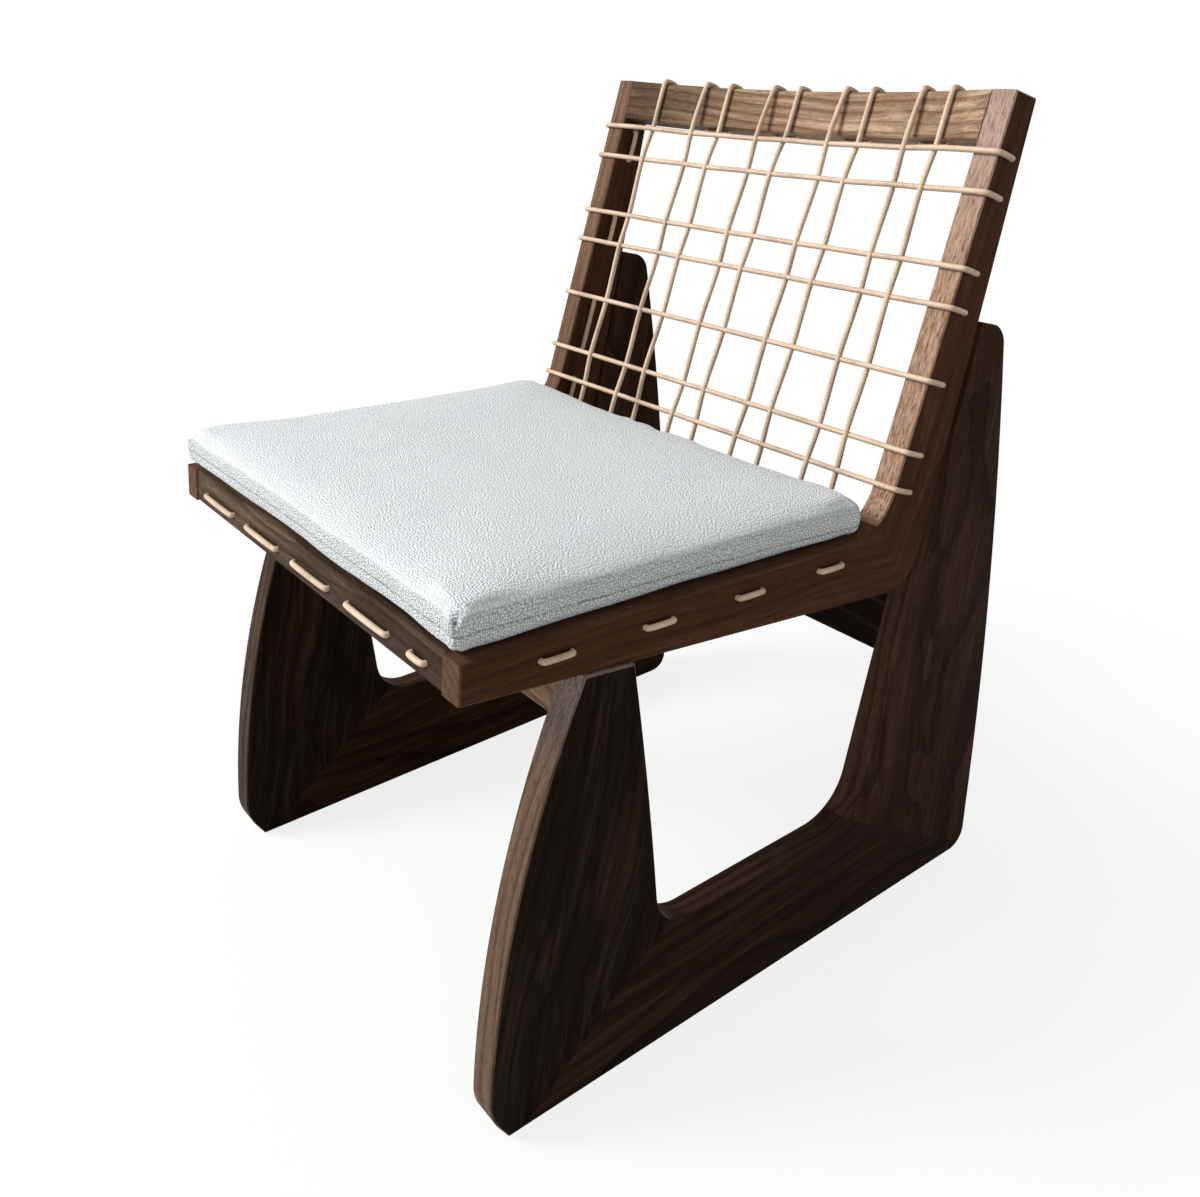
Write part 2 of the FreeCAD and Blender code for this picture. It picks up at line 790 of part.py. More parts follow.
def seat_crossing(row, index, offset):
    """Where a seat run crosses a seat row, as far above or below the lacing's level as the offset says."""
    back_x = upright_places[index]
    share = (seat_run_exit - seat_row_places[row]) / (seat_run_exit - seat_run_entry)
    x = back_x + (front_hole_places[index] - back_x) * share
    above = (row // 2 + index) % 2 == 0
    rise = -seat_lacing_drop + (offset if above else -offset)
    return (on_seat(x, seat_row_places[row], rise), weave_radius)


def seat_run_spots(index):
    """Route of one seat run, from behind the rear seat rail forward to the front rail."""
    back_x = upright_places[index]
    spots = [
        (on_seat(back_x, rear_turn_along, -seat_lacing_drop), rear_turn_radius),
        (on_seat(back_x, seat_run_exit, -seat_lacing_drop), run_height),
    ]
    for row in reversed(range(seat_row_count)):
        spots.append(seat_crossing(row, index, upright_offset))
    spots.append((on_seat(front_hole_places[index], seat_run_entry, -front_hole_drop), weave_radius))
    return spots


def front_run_along():
    """Way along the seat, less than zero, of the stitches before the front rail's face."""
    low = seat_turn.inverted().multVec(in_space(0, rail_front_bottom) - in_space(0, rail_front_top))
    return front_rail_setback + low.y * front_hole_drop / abs(low.z) - run_height


def upright_cord():
    """The cord of the uprights and seat runs, from the top rail's first hole to the front rail's last."""
    front = front_run_along()
    below = top_rail_height + run_height
    first = upright_spots(0)[0][0]
    start = first + back_turn.multVec(FreeCAD.Vector(0, 0, -top_rail_height + end_setback))
    route = [(start, 0)]
    for index, x in enumerate(upright_places):
        run = upright_spots(index) + seat_run_spots(index)
        run.append((on_seat(front_hole_places[index], front, -front_hole_drop), run_height))
        if index:
            under = (on_back(x, top_rail_depth(x) + top_hole_depth, below), run_height)
            run.insert(0, under)
        route.extend(reversed(run) if index % 2 else run)
    last_x = front_hole_places[-1]
    route.append((on_seat(last_x, front, -front_hole_drop), run_height))
    route.append((on_seat(last_x, front_rail_thickness - end_setback, -front_hole_drop), 0))
    return cord(route)


def seat_row_cord():
    """The cord of the eight seat rows, stitched along the outer faces of the seat side rails."""
    outside = half_seat + run_height
    route = [(on_seat(-half_seat + end_setback, seat_row_places[0], -seat_lacing_drop), 0)]
    for index, along in enumerate(seat_row_places):
        side = 1 if index % 2 == 0 else -1
        if index:
            route.append((on_seat(-side * outside, along, -seat_lacing_drop), run_height))
        across = [(on_seat(-inner_face, along, -seat_lacing_drop), weave_radius)]
        across.extend(seat_crossing(index, place, -row_offset) for place in range(upright_count))
        across.append((on_seat(inner_face, along, -seat_lacing_drop), weave_radius))
        route.extend(across if side > 0 else reversed(across))
        if index < seat_row_count - 1:
            route.append((on_seat(side * outside, along, -seat_lacing_drop), run_height))
    route.append((on_seat(-half_seat + end_setback, seat_row_places[-1], -seat_lacing_drop), 0))
    return cord(route)


# Loose seat cushion, made flat and then laid on the seat
def cushion_ring(inset, rise):
    """The cushion's outline at a rise, with cut corners and sides drawn in by short chords."""
    half = half_seat - cushion_side_setback - inset
    low = inset
    high = cushion_depth - inset
    bend = cushion_corner_radius
    draw = cushion_side_draw
    inner = bend - bend / math.sqrt(2)
    middle_depth = cushion_depth / 2
    outline = [
        (bend - half, low), (0, low + draw), (half - bend, low), (half - inner, low + inner),
        (half, low + bend), (half - draw, middle_depth), (half, high - bend), (half - inner, high - inner),
        (half - bend, high), (0, high - draw), (bend - half, high), (inner - half, high - inner),
        (-half, high - bend), (draw - half, middle_depth), (-half, low + bend), (inner - half, low + inner),
        (bend - half, low),
    ]
    spots = [FreeCAD.Vector(x, y, rise) for x, y in outline]
    ring = []
    for index in range(0, len(spots) - 1, 4):
        side = Part.Arc(*spots[index:index + 3]).toShape()
        ring.extend(side.discretize(cushion_side_spots))
        ring.append(spots[index + 3])
    ring.append(ring[0])
    return Part.makePolygon(ring)


def seat_cushion():
    """The cushion as rings that round its foot, climb its sides, round its top edge and form its crown."""
    angles = range(0, 90 + round_step_angle, round_step_angle)
    foot = cushion_foot_radius
    top = cushion_top_radius
    rings = []
    for angle in angles:
        level, rise = unit(angle)
        rings.append(cushion_ring(foot - foot * rise, foot - foot * level))
    for angle in angles:
        level, rise = unit(angle)
        rings.append(cushion_ring(top - top * level, cushion_corner_height - top + top * rise))
    for inset_share, rise_share in zip(crown_inset_shares, crown_rise_shares):
        inset = top + (cushion_depth / 2 - top) * inset_share
        rings.append(cushion_ring(inset, cushion_corner_height + cushion_crown * rise_share))
    pad = Part.makeLoft(rings, True, True)
    pad.Placement = FreeCAD.Placement(on_seat(0, cushion_front_setback, cushion_seat_gap), seat_turn)
    return pad


def mirrored(shape):
    """The shape on the other side of the chair."""
    return shape.mirror(FreeCAD.Vector(0, 0, 0), FreeCAD.Vector(1, 0, 0))


paired = {
    "front_leg": front_leg,
    "runner": runner,
    "back_leg": back_leg,
    "seat_side_rail": seat_side_rail,
    "back_post": back_post,
    "toe_tongue": toe_tongue,
    "heel_tongue": heel_tongue,
    "side_tongue": side_tongue,
    "front_dowel": front_dowel,
    "upper_back_dowel": upper_back_dowel,
    "lower_back_dowel": lower_back_dowel,
}
single = {
    "front_rail": front_rail,
    "rear_seat_rail": rear_seat_rail,
    "top_rail": top_rail,
    "front_stretcher": front_stretcher,
    "rear_stretcher": rear_stretcher,
    "back_row_cord": back_row_cord,
    "upright_cord": upright_cord,
    "seat_row_cord": seat_row_cord,
    "seat_cushion": seat_cushion,
}


def main():
    """Build every piece and write it to its own file."""
    os.makedirs("parts", exist_ok=True)
    pieces = {name: make() for name, make in single.items()}
    for name, make in paired.items():
        right = make()
        left = mirrored(right)
        if name == "back_post":
            left = left.cut(tail_bore())
        pieces[name + "_right"] = right
        pieces[name + "_left"] = left
    for name, shape in pieces.items():
        print(name, shape.isValid(), len(shape.Solids), round(shape.Volume))
        shape.exportStep("parts/" + name + ".step")


main()
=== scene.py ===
import math

import bpy
from bpy.props import FloatProperty, FloatVectorProperty, IntProperty, PointerProperty
from bpy.types import Operator, Panel, PropertyGroup
from mathutils import Matrix, Vector, noise


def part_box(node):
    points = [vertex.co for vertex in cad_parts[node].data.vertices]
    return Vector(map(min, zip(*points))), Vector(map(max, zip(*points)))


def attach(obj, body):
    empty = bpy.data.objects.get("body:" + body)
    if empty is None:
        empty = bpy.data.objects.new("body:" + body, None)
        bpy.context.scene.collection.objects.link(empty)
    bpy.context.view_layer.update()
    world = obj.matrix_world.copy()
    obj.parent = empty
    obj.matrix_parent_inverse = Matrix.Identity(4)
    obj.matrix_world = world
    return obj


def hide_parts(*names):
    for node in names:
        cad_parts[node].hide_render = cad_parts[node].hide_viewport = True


bl_info = {
    "name": "Laced easy chair",
    "version": (1, 0, 0),
    "blender": (4, 5, 0),
    "location": "3D View > Sidebar > Chair",
    "description": "Dresses the easy chair with board grain, cord lacing and a woven seat cushion",
    "category": "Object",
}

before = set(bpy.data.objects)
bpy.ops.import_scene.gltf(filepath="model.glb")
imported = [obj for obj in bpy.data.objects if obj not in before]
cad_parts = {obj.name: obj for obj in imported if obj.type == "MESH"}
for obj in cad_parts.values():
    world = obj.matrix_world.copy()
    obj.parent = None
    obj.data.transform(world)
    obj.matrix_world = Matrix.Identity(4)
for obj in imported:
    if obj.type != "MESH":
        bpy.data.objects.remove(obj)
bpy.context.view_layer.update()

SIDES = ("right", "left")
CORDS = ("back_row_cord", "upright_cord", "seat_row_cord")
JOINERY = (
    "toe_tongue", "heel_tongue", "side_tongue", "front_dowel", "upper_back_dowel", "lower_back_dowel")

# Boards of the two side views: the angle of the grain above level, in degrees, how far the broad faces
# go from the leg's color to the side frame's, and how pale the edges are on the right and on the left
# The edges' paleness is partly the wood's own paler edges and partly painted light and sheen; the
# right-hand edges being paler than the left-hand ones is painted light
SIDE_BOARDS = {
    "front_leg": (76.0, 0.0, 0.34, 0.08),
    "runner": (1.0, 0.22, 0.04, 0.04),
    "back_leg": (83.0, 0.42, 0.10, 0.05),
    "seat_side_rail": (-4.0, 1.0, 0.12, 0.12),
    "back_post": (71.0, 0.90, 1.0, 0.32),
}

# Boards that run across: the lean of the broad face in degrees, how pale the board is, and how far the
# board darkens towards its left end and towards its right end
# The difference between the pale front stretcher and the dark rear stretcher is painted light and shade
CROSS_BOARDS = {
    "front_rail": (4.0, 0.21, 0.0, 0.55),
    "rear_seat_rail": (4.0, 0.18, 0.0, 0.0),
    "top_rail": (20.0, 1.0, 0.85, 0.0),
    "front_stretcher": (25.0, 1.25, 0.0, 0.0),
    "rear_stretcher": (15.0, 0.0, 0.0, 0.0),
}

# Places across, in metres, between which the darkening of a dark left or right end fades or grows
LEFT_DARK_END = (-0.24, 0.0)
RIGHT_DARK_END = (-0.24, 0.20)

# Heights between which the grey sheen painted on the edges of a right-hand board grows, in metres, and its
# full share
PAINTED_SHEENS = {"front_leg": (0.31, 0.40, 0.75), "back_post": (0.60, 0.77, 0.55)}
NO_PAINTED_SHEEN = (1.0, 2.0, 0.0)

# How strongly the growth rings show on the dark boards, the side frames, the cross boards and the joinery
LEG_FIGURE = 0.8
SIDE_FIGURE = 0.45
CROSS_FIGURE = 0.6
JOINERY_FIGURE = 0.4

# Largest error that still counts as the same place, in metres
SAME_PLACE = 0.00002


# Settings
def tint(name, description, default):
    """A setting that holds a color."""
    return FloatVectorProperty(name=name, description=description, default=default, subtype="COLOR")


def metres(name, description, default):
    """A setting in metres."""
    return FloatProperty(name=name, description=description, default=default, unit="LENGTH")


def degrees(name, description, default):
    """A setting that is an angle, given in degrees."""
    return FloatProperty(name=name, description=description, default=math.radians(default), subtype="ANGLE")


def number(name, description, default):
    """A setting that is a plain number."""
    return FloatProperty(name=name, description=description, default=default)


class BoardSettings(PropertyGroup):
    """Finish of the boards."""
    leg_color: tint("Leg color", "Broad faces of the leg frames", (0.0085, 0.0050, 0.0032))
    leg_streak: tint("Leg streak", "Streaks in the leg frames", (0.034, 0.0175, 0.0105))
    side_color: tint("Side frame color", "Broad faces of the seat and back frame", (0.060, 0.0240, 0.0105))
    side_streak: tint("Side frame streak", "Streaks in the seat and back frame", (0.092, 0.041, 0.021))
    # The palest edges carry painted light and sheen as well as the wood's paler edges
    edge_color: tint("Edge color", "Palest narrow edges of the boards", (0.360, 0.225, 0.150))
    edge_streak: tint("Edge streak", "Streaks on the palest edges", (0.500, 0.340, 0.240))
    rail_color: tint("Top rail color", "Ground color of the figured top rail", (0.270, 0.170, 0.105))
    rail_streak: tint("Top rail streak", "Pale streaks of the figured top rail", (0.500, 0.350, 0.230))
    # Grey highlight painted on the upper edges as sheen
    painted_sheen_color: tint("Painted sheen", "Grey sheen painted on the upper edges", (0.400, 0.325, 0.320))
    ring_width: metres("Ring width", "Distance between growth rings", 0.011)
    pore_length: metres("Pore length", "Length of the open pores", 0.009)


class CordSettings(PropertyGroup):
    """Finish of the lacing."""
    color: tint("Cord color", "Outer color of the cord", (0.66, 0.50, 0.36))
    # Its color is also painted on the cord's undersides as shade
    shade: tint("Cord shade", "Creases and undersides of the cord", (0.30, 0.205, 0.135))
    fullness: metres("Fullness", "How far the cord's cage is pushed out before smoothing", 0.00005)


class CushionSettings(PropertyGroup):
    """Shape and cloth of the seat cushion."""
    slope: degrees("Slope", "Fall of the seat to the back", 3.28)
    inset: metres("Inset", "How far the pad is drawn in before it swells", 0.002)
    voxel: metres("Cloth mesh", "Size of the cloth's mesh", 0.0046)
    pressure: number("Pressure", "Push of the filling on the cover", 4.0)
    frames: IntProperty(name="Frames", description="Steps of the cloth simulation", default=20)
    swell: metres("Swell", "Furthest that the cover moves out", 0.0055)
    give: metres("Give", "Furthest that the cover moves in", 0.0006)
    hem: metres("Hem", "Width of the edge that keeps its shape when the crown is evened out", 0.012)
    evening: IntProperty(name="Evening", description="How often the crown is evened out", default=160)
    bulge: metres("Bulge", "How far the middle of each side is pushed out", 0.0045)
    overhang: metres("Overhang", "How far the cloth stands past the pad's sides and back", 0.003)
    forward: metres("Forward", "How far the cloth stands out before the pad", 0.004)
    loft: metres("Loft", "How far the cloth stands above the pad", 0.0025)
    corner_zone: metres("Corner zone", "Size of the corners that are squared", 0.018)
    corner_power: number("Corner power", "How square the corners are, from 2 for round ones", 5.0)
    tuck: metres("Tuck", "How far the foot is drawn in under the sides", 0.001)
    tuck_height: metres("Tuck height", "Height over which the foot is drawn in", 0.011)
    seam_height: metres("Seam height", "Height of the side seam above the foot", 0.0165)
    seam_fall: metres("Seam fall", "How far the side seam falls from the front to the back", 0.0055)
    seam_depth: metres("Seam depth", "Depth of the side seam", 0.0011)
    seam_width: metres("Seam width", "Half width of the side seam", 0.0020)
    dimple_depth: metres("Dimple depth", "Depth of the pucker at each top corner", 0.0040)
    pebble: metres("Pebble", "Length of one knot of the weave", 0.0026)
    color: tint("Cloth color", "Color of the threads", (0.90, 0.93, 0.94))
    # Shade painted between the knots of the weave
    gap: tint("Gap color", "Color between the threads", (0.64, 0.67, 0.685))
    # Darker shade painted between the knots on the sides
    side_gap: tint("Side gap color", "Color between the threads on the sides", (0.42, 0.44, 0.44))


class StageSettings(PropertyGroup):
    """Camera, floor and lamps."""
    camera_place: FloatVectorProperty(
        name="Camera place", description="Place of the lens", subtype="TRANSLATION", unit="LENGTH",
        default=(0.8648, -0.6146, 0.8185))
    yaw: degrees("Yaw", "Turn to the left of straight back", 52.303)
    pitch: degrees("Pitch", "Tilt below level", 23.325)
    roll: degrees("Roll", "Turn about the line of sight", -1.2545)
    focal_pixels: number("Focal length", "Focal length in pixels of the photograph", 1157.1)
    image_width: number("Image width", "Width of the photograph in pixels", 1200.0)
    center_pixels: FloatVectorProperty(
        name="Center", description="Place of the line of sight from the photograph's middle, in pixels",
        size=2, default=(28.58, -62.0))
    floor_color: tint("Floor color", "Color of the floor", (0.86, 0.86, 0.855))
    key_power: FloatProperty(
        name="Key power", description="Power of the main lamp", default=300.0, unit="POWER")
    fill_power: FloatProperty(
        name="Fill power", description="Power of the second lamp", default=5.0, unit="POWER")
    gleam: number("Gleam", "Share of the white surroundings that reflections see", 0.35)
    sky: number("Sky", "Strength of the even light from all sides", 0.46)


# Nodes

# New nodes stand in rows of this many, this far apart across and down
NODES_IN_ROW = 12
NODE_STEPS = (200, -220)

# Middle of the values that a noise gives
NOISE_MIDDLE = 0.5


def node(tree, kind, inputs=None, **settings):
    """A new node with its settings, and each named input linked to a socket or set to a value."""
    made = tree.nodes.new(kind)
    row, column = divmod(len(tree.nodes), NODES_IN_ROW)
    made.location = (NODE_STEPS[0] * column, NODE_STEPS[1] * row)
    for name, value in settings.items():
        setattr(made, name, value)
    for name, value in (inputs or {}).items():
        if isinstance(value, bpy.types.NodeSocket):
            tree.links.new(value, made.inputs[name])
        else:
            made.inputs[name].default_value = value
    return made


def math_node(tree, operation, first, second=0.0):
    """Result of a math node."""
    return node(tree, "ShaderNodeMath", {0: first, 1: second}, operation=operation).outputs[0]


def vector_node(tree, operation, first, second):
    """Result of a vector math node."""
    return node(tree, "ShaderNodeVectorMath", {0: first, 1: second}, operation=operation).outputs[0]


def coordinate(tree, vector, axis):
    """One coordinate of a vector."""
    return node(tree, "ShaderNodeSeparateXYZ", {0: vector}).outputs[axis]


def spread(tree, value, low, high, to_low=0.0, to_high=1.0):
    """A value between two limits spread smoothly over another range."""
    made = node(tree, "ShaderNodeMapRange", {
        "Value": value, "From Min": low, "From Max": high, "To Min": to_low, "To Max": to_high,
    }, interpolation_type="SMOOTHSTEP")
    return made.outputs["Result"]


def mixed(tree, share, first, second, blend="MIX"):
    """Two colors mixed by a share."""
    made = node(tree, "ShaderNodeMix", {0: share, 6: first, 7: second}, data_type="RGBA", blend_type=blend)
    return made.outputs[2]


def darkened(tree, share, color, shade):
    """A color multiplied by a shade, by a share."""
    return mixed(tree, share, color, shade, "MULTIPLY")


def mixed_value(tree, share, first, second):
    """Two values mixed by a share."""
    return node(tree, "ShaderNodeMix", {0: share, 2: first, 3: second}).outputs[0]


def scaled(tree, vector, scale):
    """A vector stretched along its axes."""
    return node(tree, "ShaderNodeMapping", {"Vector": vector, "Scale": scale}).outputs["Vector"]


def noise_outputs(tree, vector, scale, detail=2.0, roughness=0.5):
    """Results of a noise with a scale along each axis."""
    return node(tree, "ShaderNodeTexNoise", {
        "Vector": scaled(tree, vector, scale), "Scale": 1.0, "Detail": detail, "Roughness": roughness,
    }).outputs


def noise_value(tree, vector, *settings):
    """The value of a noise with its scale, and its detail and roughness where they are given."""
    return noise_outputs(tree, vector, *settings)["Fac"]


def swayed(tree, vector, scale, reach, detail):
    """A vector that wanders to and fro by up to half a reach along each axis."""
    drift = noise_outputs(tree, vector, scale, detail)["Color"]
    drift = vector_node(tree, "SUBTRACT", drift, [NOISE_MIDDLE] * 3)
    return vector_node(tree, "ADD", vector, vector_node(tree, "MULTIPLY", drift, reach))


def new_group(name, inputs, outputs):
    """A shader node group with named sockets, with its start and end nodes."""
    tree = bpy.data.node_groups.new(name, "ShaderNodeTree")
    for label, kind in inputs:
        tree.interface.new_socket(label, in_out="INPUT", socket_type="NodeSocket" + kind)
    for label, kind in outputs:
        tree.interface.new_socket(label, in_out="OUTPUT", socket_type="NodeSocket" + kind)
    return tree, tree.nodes.new("NodeGroupInput"), tree.nodes.new("NodeGroupOutput")


def put_out(tree, end, **values):
    """Links the group's results to its end node."""
    for name, value in values.items():
        tree.links.new(value, end.inputs[name])


# Results of each group that makes a surface
SURFACE = [("Color", "Color"), ("Roughness", "Float"), ("Height", "Float")]

# Wander of the grain line: scale of the noise per metre, reach in metres and detail
GRAIN_SWAY = ((2.4, 7.0, 7.0), (0.0, 0.07, 0.07), 2.0)

# Noises of the grain: scale per metre along the grain and across it, detail and roughness
GRAIN_NOISES = {
    "streaks": ((4.0, 150.0, 150.0), 4.0, 0.6),
    "broad": ((3.0, 22.0, 22.0), 2.0, 0.5),
    "threads": ((16.0, 750.0, 750.0), 2.0, 0.5),
    "flecks": ((95.0, 620.0, 620.0), 3.0, 0.6),
}

# Scale of the pores' noise across the grain, and its detail
PORES_ACROSS = 1500.0
PORE_DETAIL = 1.0

# Values of the noise between which each mark grows, and what it grows from and to, if not from 0 to 1
GRAIN_MARKS = {
    "streaks": (0.42, 0.72),
    "broad": (0.45, 0.75, -0.2, 0.5),
    "pale_flecks": (0.50, 0.30),
    "dark_flecks": (0.50, 0.66),
    "rings": (0.45, 1.0),
    "threads": (0.35, 0.75, 0.0, 0.55),
    "pores": (0.58, 0.70),
    "roughness": (0.3, 0.7, 0.48, 0.62),
}

# Part of each color channel that is left where a mark is darkest
GRAIN_SHADES = {
    "flecks": (0.46, 0.38, 0.33, 1.0),
    "rings": (0.34, 0.29, 0.27, 1.0),
    "threads": (0.62, 0.58, 0.56, 1.0),
    "pores": (0.42, 0.38, 0.36, 1.0),
}

# How much the flecks calm the streaks and rings, how dark and how rough the pores are, and how high the
# threads stand beside the depth of a pore
FLECK_CALM = 0.8
PORE_DARKNESS = 0.55
PORE_ROUGHNESS = 0.22
THREAD_HEIGHT = 0.5

# A wave texture of scale 1 has this many rings in a unit's length
RINGS_PER_UNIT = 20 / math.tau


def grain_group():
    """Board grain along X: rings about a far heart, streaks and open pores."""
    tree, start, end = new_group(
        "Board grain",
        [("Vector", "Vector"), ("Color", "Color"), ("Streak", "Color"), ("Ring Width", "Float"),
         ("Pore Length", "Float"), ("Figure", "Float"), ("Fleck", "Float")],
        SURFACE)
    vector, ground, streak = (start.outputs[name] for name in ("Vector", "Color", "Streak"))
    figure, fleck = (start.outputs[name] for name in ("Figure", "Fleck"))
    bent = swayed(tree, vector, *GRAIN_SWAY)
    ring_scale = math_node(tree, "DIVIDE", 1 / RINGS_PER_UNIT, start.outputs["Ring Width"])
    rings = node(tree, "ShaderNodeTexWave", {
        "Vector": bent, "Scale": ring_scale, "Distortion": 1.2, "Detail": 3.0, "Detail Scale": 0.6,
    }, wave_type="RINGS", rings_direction="X", wave_profile="SAW").outputs["Fac"]
    streaks, broad, threads = (
        noise_value(tree, bent, *GRAIN_NOISES[name]) for name in ("streaks", "broad", "threads"))
    flecks = noise_value(tree, vector, *GRAIN_NOISES["flecks"])
    pores_along = math_node(tree, "DIVIDE", 1.0, start.outputs["Pore Length"])
    pore_scale = node(tree, "ShaderNodeCombineXYZ", {
        "X": pores_along, "Y": PORES_ACROSS, "Z": PORES_ACROSS}).outputs[0]
    pores = spread(tree, noise_value(tree, bent, pore_scale, PORE_DETAIL), *GRAIN_MARKS["pores"])
    light = math_node(tree, "ADD", spread(tree, streaks, *GRAIN_MARKS["streaks"]),
                      spread(tree, broad, *GRAIN_MARKS["broad"]))
    calm = math_node(tree, "SUBTRACT", 1.0, math_node(tree, "MULTIPLY", fleck, FLECK_CALM))
    light = node(tree, "ShaderNodeClamp", {"Value": math_node(tree, "MULTIPLY", light, calm)}).outputs[0]
    color = mixed(tree, light, ground, streak)
    pale_flecks = math_node(tree, "MULTIPLY", spread(tree, flecks, *GRAIN_MARKS["pale_flecks"]), fleck)
    color = mixed(tree, pale_flecks, color, streak)
    shares = {
        "flecks": math_node(tree, "MULTIPLY", spread(tree, flecks, *GRAIN_MARKS["dark_flecks"]), fleck),
        "rings": math_node(tree, "MULTIPLY", spread(tree, rings, *GRAIN_MARKS["rings"]), figure),
        "threads": spread(tree, threads, *GRAIN_MARKS["threads"]),
        "pores": math_node(tree, "MULTIPLY", pores, PORE_DARKNESS),
    }
    for name, share in shares.items():
        color = darkened(tree, share, color, GRAIN_SHADES[name])
    roughness = math_node(tree, "ADD", spread(tree, threads, *GRAIN_MARKS["roughness"]),
                          math_node(tree, "MULTIPLY", pores, PORE_ROUGHNESS))
    height = math_node(tree, "SUBTRACT", math_node(tree, "MULTIPLY", threads, THREAD_HEIGHT), pores)
    put_out(tree, end, Color=color, Roughness=roughness, Height=height)
    return tree


# Mottling and creases of the cord: scale per metre, detail and roughness of each noise, and its values
# between which the cord darkens, with the share of the shade at both
MOTTLE_NOISE = ((26.0, 26.0, 26.0), 3.0)
MOTTLE = (0.35, 0.75, 0.0, 0.5)
CREASE_NOISE = ((420.0, 420.0, 420.0), 3.0, 0.6)
CREASES = (0.45, 0.8, 0.0, 0.45)

# Values of the creases' noise between which the cord gets rougher, and its roughness at both
CREASE_ROUGHNESS = (0.3, 0.8, 0.46, 0.66)


def skin_group():
    """Cord skin: mottled color and fine creases."""
    tree, start, end = new_group(
        "Cord skin", [("Vector", "Vector"), ("Color", "Color"), ("Shade", "Color")], SURFACE)
    vector = start.outputs["Vector"]
    mottle = noise_value(tree, vector, *MOTTLE_NOISE)
    creases = noise_value(tree, vector, *CREASE_NOISE)
    share = math_node(tree, "ADD", spread(tree, mottle, *MOTTLE), spread(tree, creases, *CREASES))
    color = mixed(tree, share, start.outputs["Color"], start.outputs["Shade"])
    put_out(tree, end, Color=color, Roughness=spread(tree, creases, *CREASE_ROUGHNESS), Height=creases)
    return tree


# Wander of the weave's rows: scale of the noise per metre, reach in metres and detail
WEAVE_SWAY = ((60.0, 60.0, 60.0), (0.003, 0.003, 0.0), 1.0)

# Knots: how they are packed along each axis, how unevenly they lie, the distances from a knot's middle
# between which it falls to the gap, and the heights between which the gap's painted shade gives way to its
# color
KNOT_PACKING = (1.0, 1.3, 1.0)
KNOT_UNEVENNESS = 0.62
KNOT_SHAPE = (0.12, 0.62, 1.0, 0.0)
KNOT_COLOR = (0.0, 0.7)

# Fuzz of the threads: scale and detail of its noise, its height beside a knot's, and its roughness
FUZZ_NOISE = ((2600.0, 2600.0, 2600.0), 2.0)
FUZZ_HEIGHT = 0.25
FUZZ_ROUGHNESS = (0.2, 0.8, 0.82, 0.95)

# Slow change of tone: scale and detail of its noise, where and how much it shows, and its shade
TONE_NOISE = ((11.0, 11.0, 11.0), 3.0)
TONE = (0.3, 0.7, 0.0, 0.22)
TONE_SHADE = (0.86, 0.90, 0.95, 1.0)


def weave_group():
    """Pebbled weave on a map in metres, with rows of knots and shade painted in the gaps between them."""
    tree, start, end = new_group(
        "Pebbled weave",
        [("Vector", "Vector"), ("Pebble", "Float"), ("Color", "Color"), ("Gap", "Color")], SURFACE)
    vector = start.outputs["Vector"]
    place = scaled(tree, swayed(tree, vector, *WEAVE_SWAY), KNOT_PACKING)
    knots = node(tree, "ShaderNodeTexVoronoi", {
        "Vector": place, "Scale": math_node(tree, "DIVIDE", 1.0, start.outputs["Pebble"]),
        "Randomness": KNOT_UNEVENNESS}, voronoi_dimensions="2D", feature="F1")
    round_top = spread(tree, knots.outputs["Distance"], *KNOT_SHAPE)
    fuzz = noise_value(tree, vector, *FUZZ_NOISE)
    tone = noise_value(tree, vector, *TONE_NOISE)
    color = mixed(tree, spread(tree, round_top, *KNOT_COLOR), start.outputs["Gap"], start.outputs["Color"])
    color = darkened(tree, spread(tree, tone, *TONE), color, TONE_SHADE)
    height = math_node(tree, "ADD", round_top, math_node(tree, "MULTIPLY", fuzz, FUZZ_HEIGHT))
    put_out(tree, end, Color=color, Roughness=spread(tree, fuzz, *FUZZ_ROUGHNESS), Height=height)
    return tree


# How often the sewn line bends in a metre, and how far it wanders in all, in metres
SEAM_BENDS = 14.0
SEAM_WANDER = 0.006


def seam_group():
    """A sewn seam at a height: how deep it lies, from 0 to 1, with a little sway along its length."""
    tree, start, end = new_group(
        "Sewn seam",
        [("Vector", "Vector"), ("Seam Height", "Float"), ("Fall", "Float"), ("Width", "Float")],
        [("Groove", "Float")])
    vector = start.outputs["Vector"]
    fallen = math_node(tree, "MULTIPLY", coordinate(tree, vector, "Y"), start.outputs["Fall"])
    height = math_node(tree, "ADD", coordinate(tree, vector, "Z"), fallen)
    sway = noise_value(tree, vector, (SEAM_BENDS, SEAM_BENDS, 0.0))
    sway = math_node(tree, "MULTIPLY", math_node(tree, "SUBTRACT", sway, NOISE_MIDDLE), SEAM_WANDER)
    off = math_node(tree, "SUBTRACT", height, start.outputs["Seam Height"])
    off = math_node(tree, "ABSOLUTE", math_node(tree, "SUBTRACT", off, sway))
    share = math_node(tree, "DIVIDE", off, start.outputs["Width"])
    put_out(tree, end, Groove=spread(tree, share, 0.0, 1.0, 1.0, 0.0))
    return tree


def shared_group(name):
    """The node group of a name, made once."""
    makers = {"Board grain": grain_group, "Cord skin": skin_group, "Pebbled weave": weave_group,
              "Sewn seam": seam_group}
    return bpy.data.node_groups.get(name) or makers[name]()


def placed_group(tree, name, inputs):
    """Results of a shared node group placed in a material."""
    return node(tree, "ShaderNodeGroup", inputs, node_tree=shared_group(name)).outputs


def new_material(name):
    """An empty material with its tree, its shader and its place coordinates."""
    material = bpy.data.materials.new(name)
    material.use_nodes = True
    tree = material.node_tree
    return material, tree, tree.nodes["Principled BSDF"], tree.nodes.new("ShaderNodeTexCoord").outputs


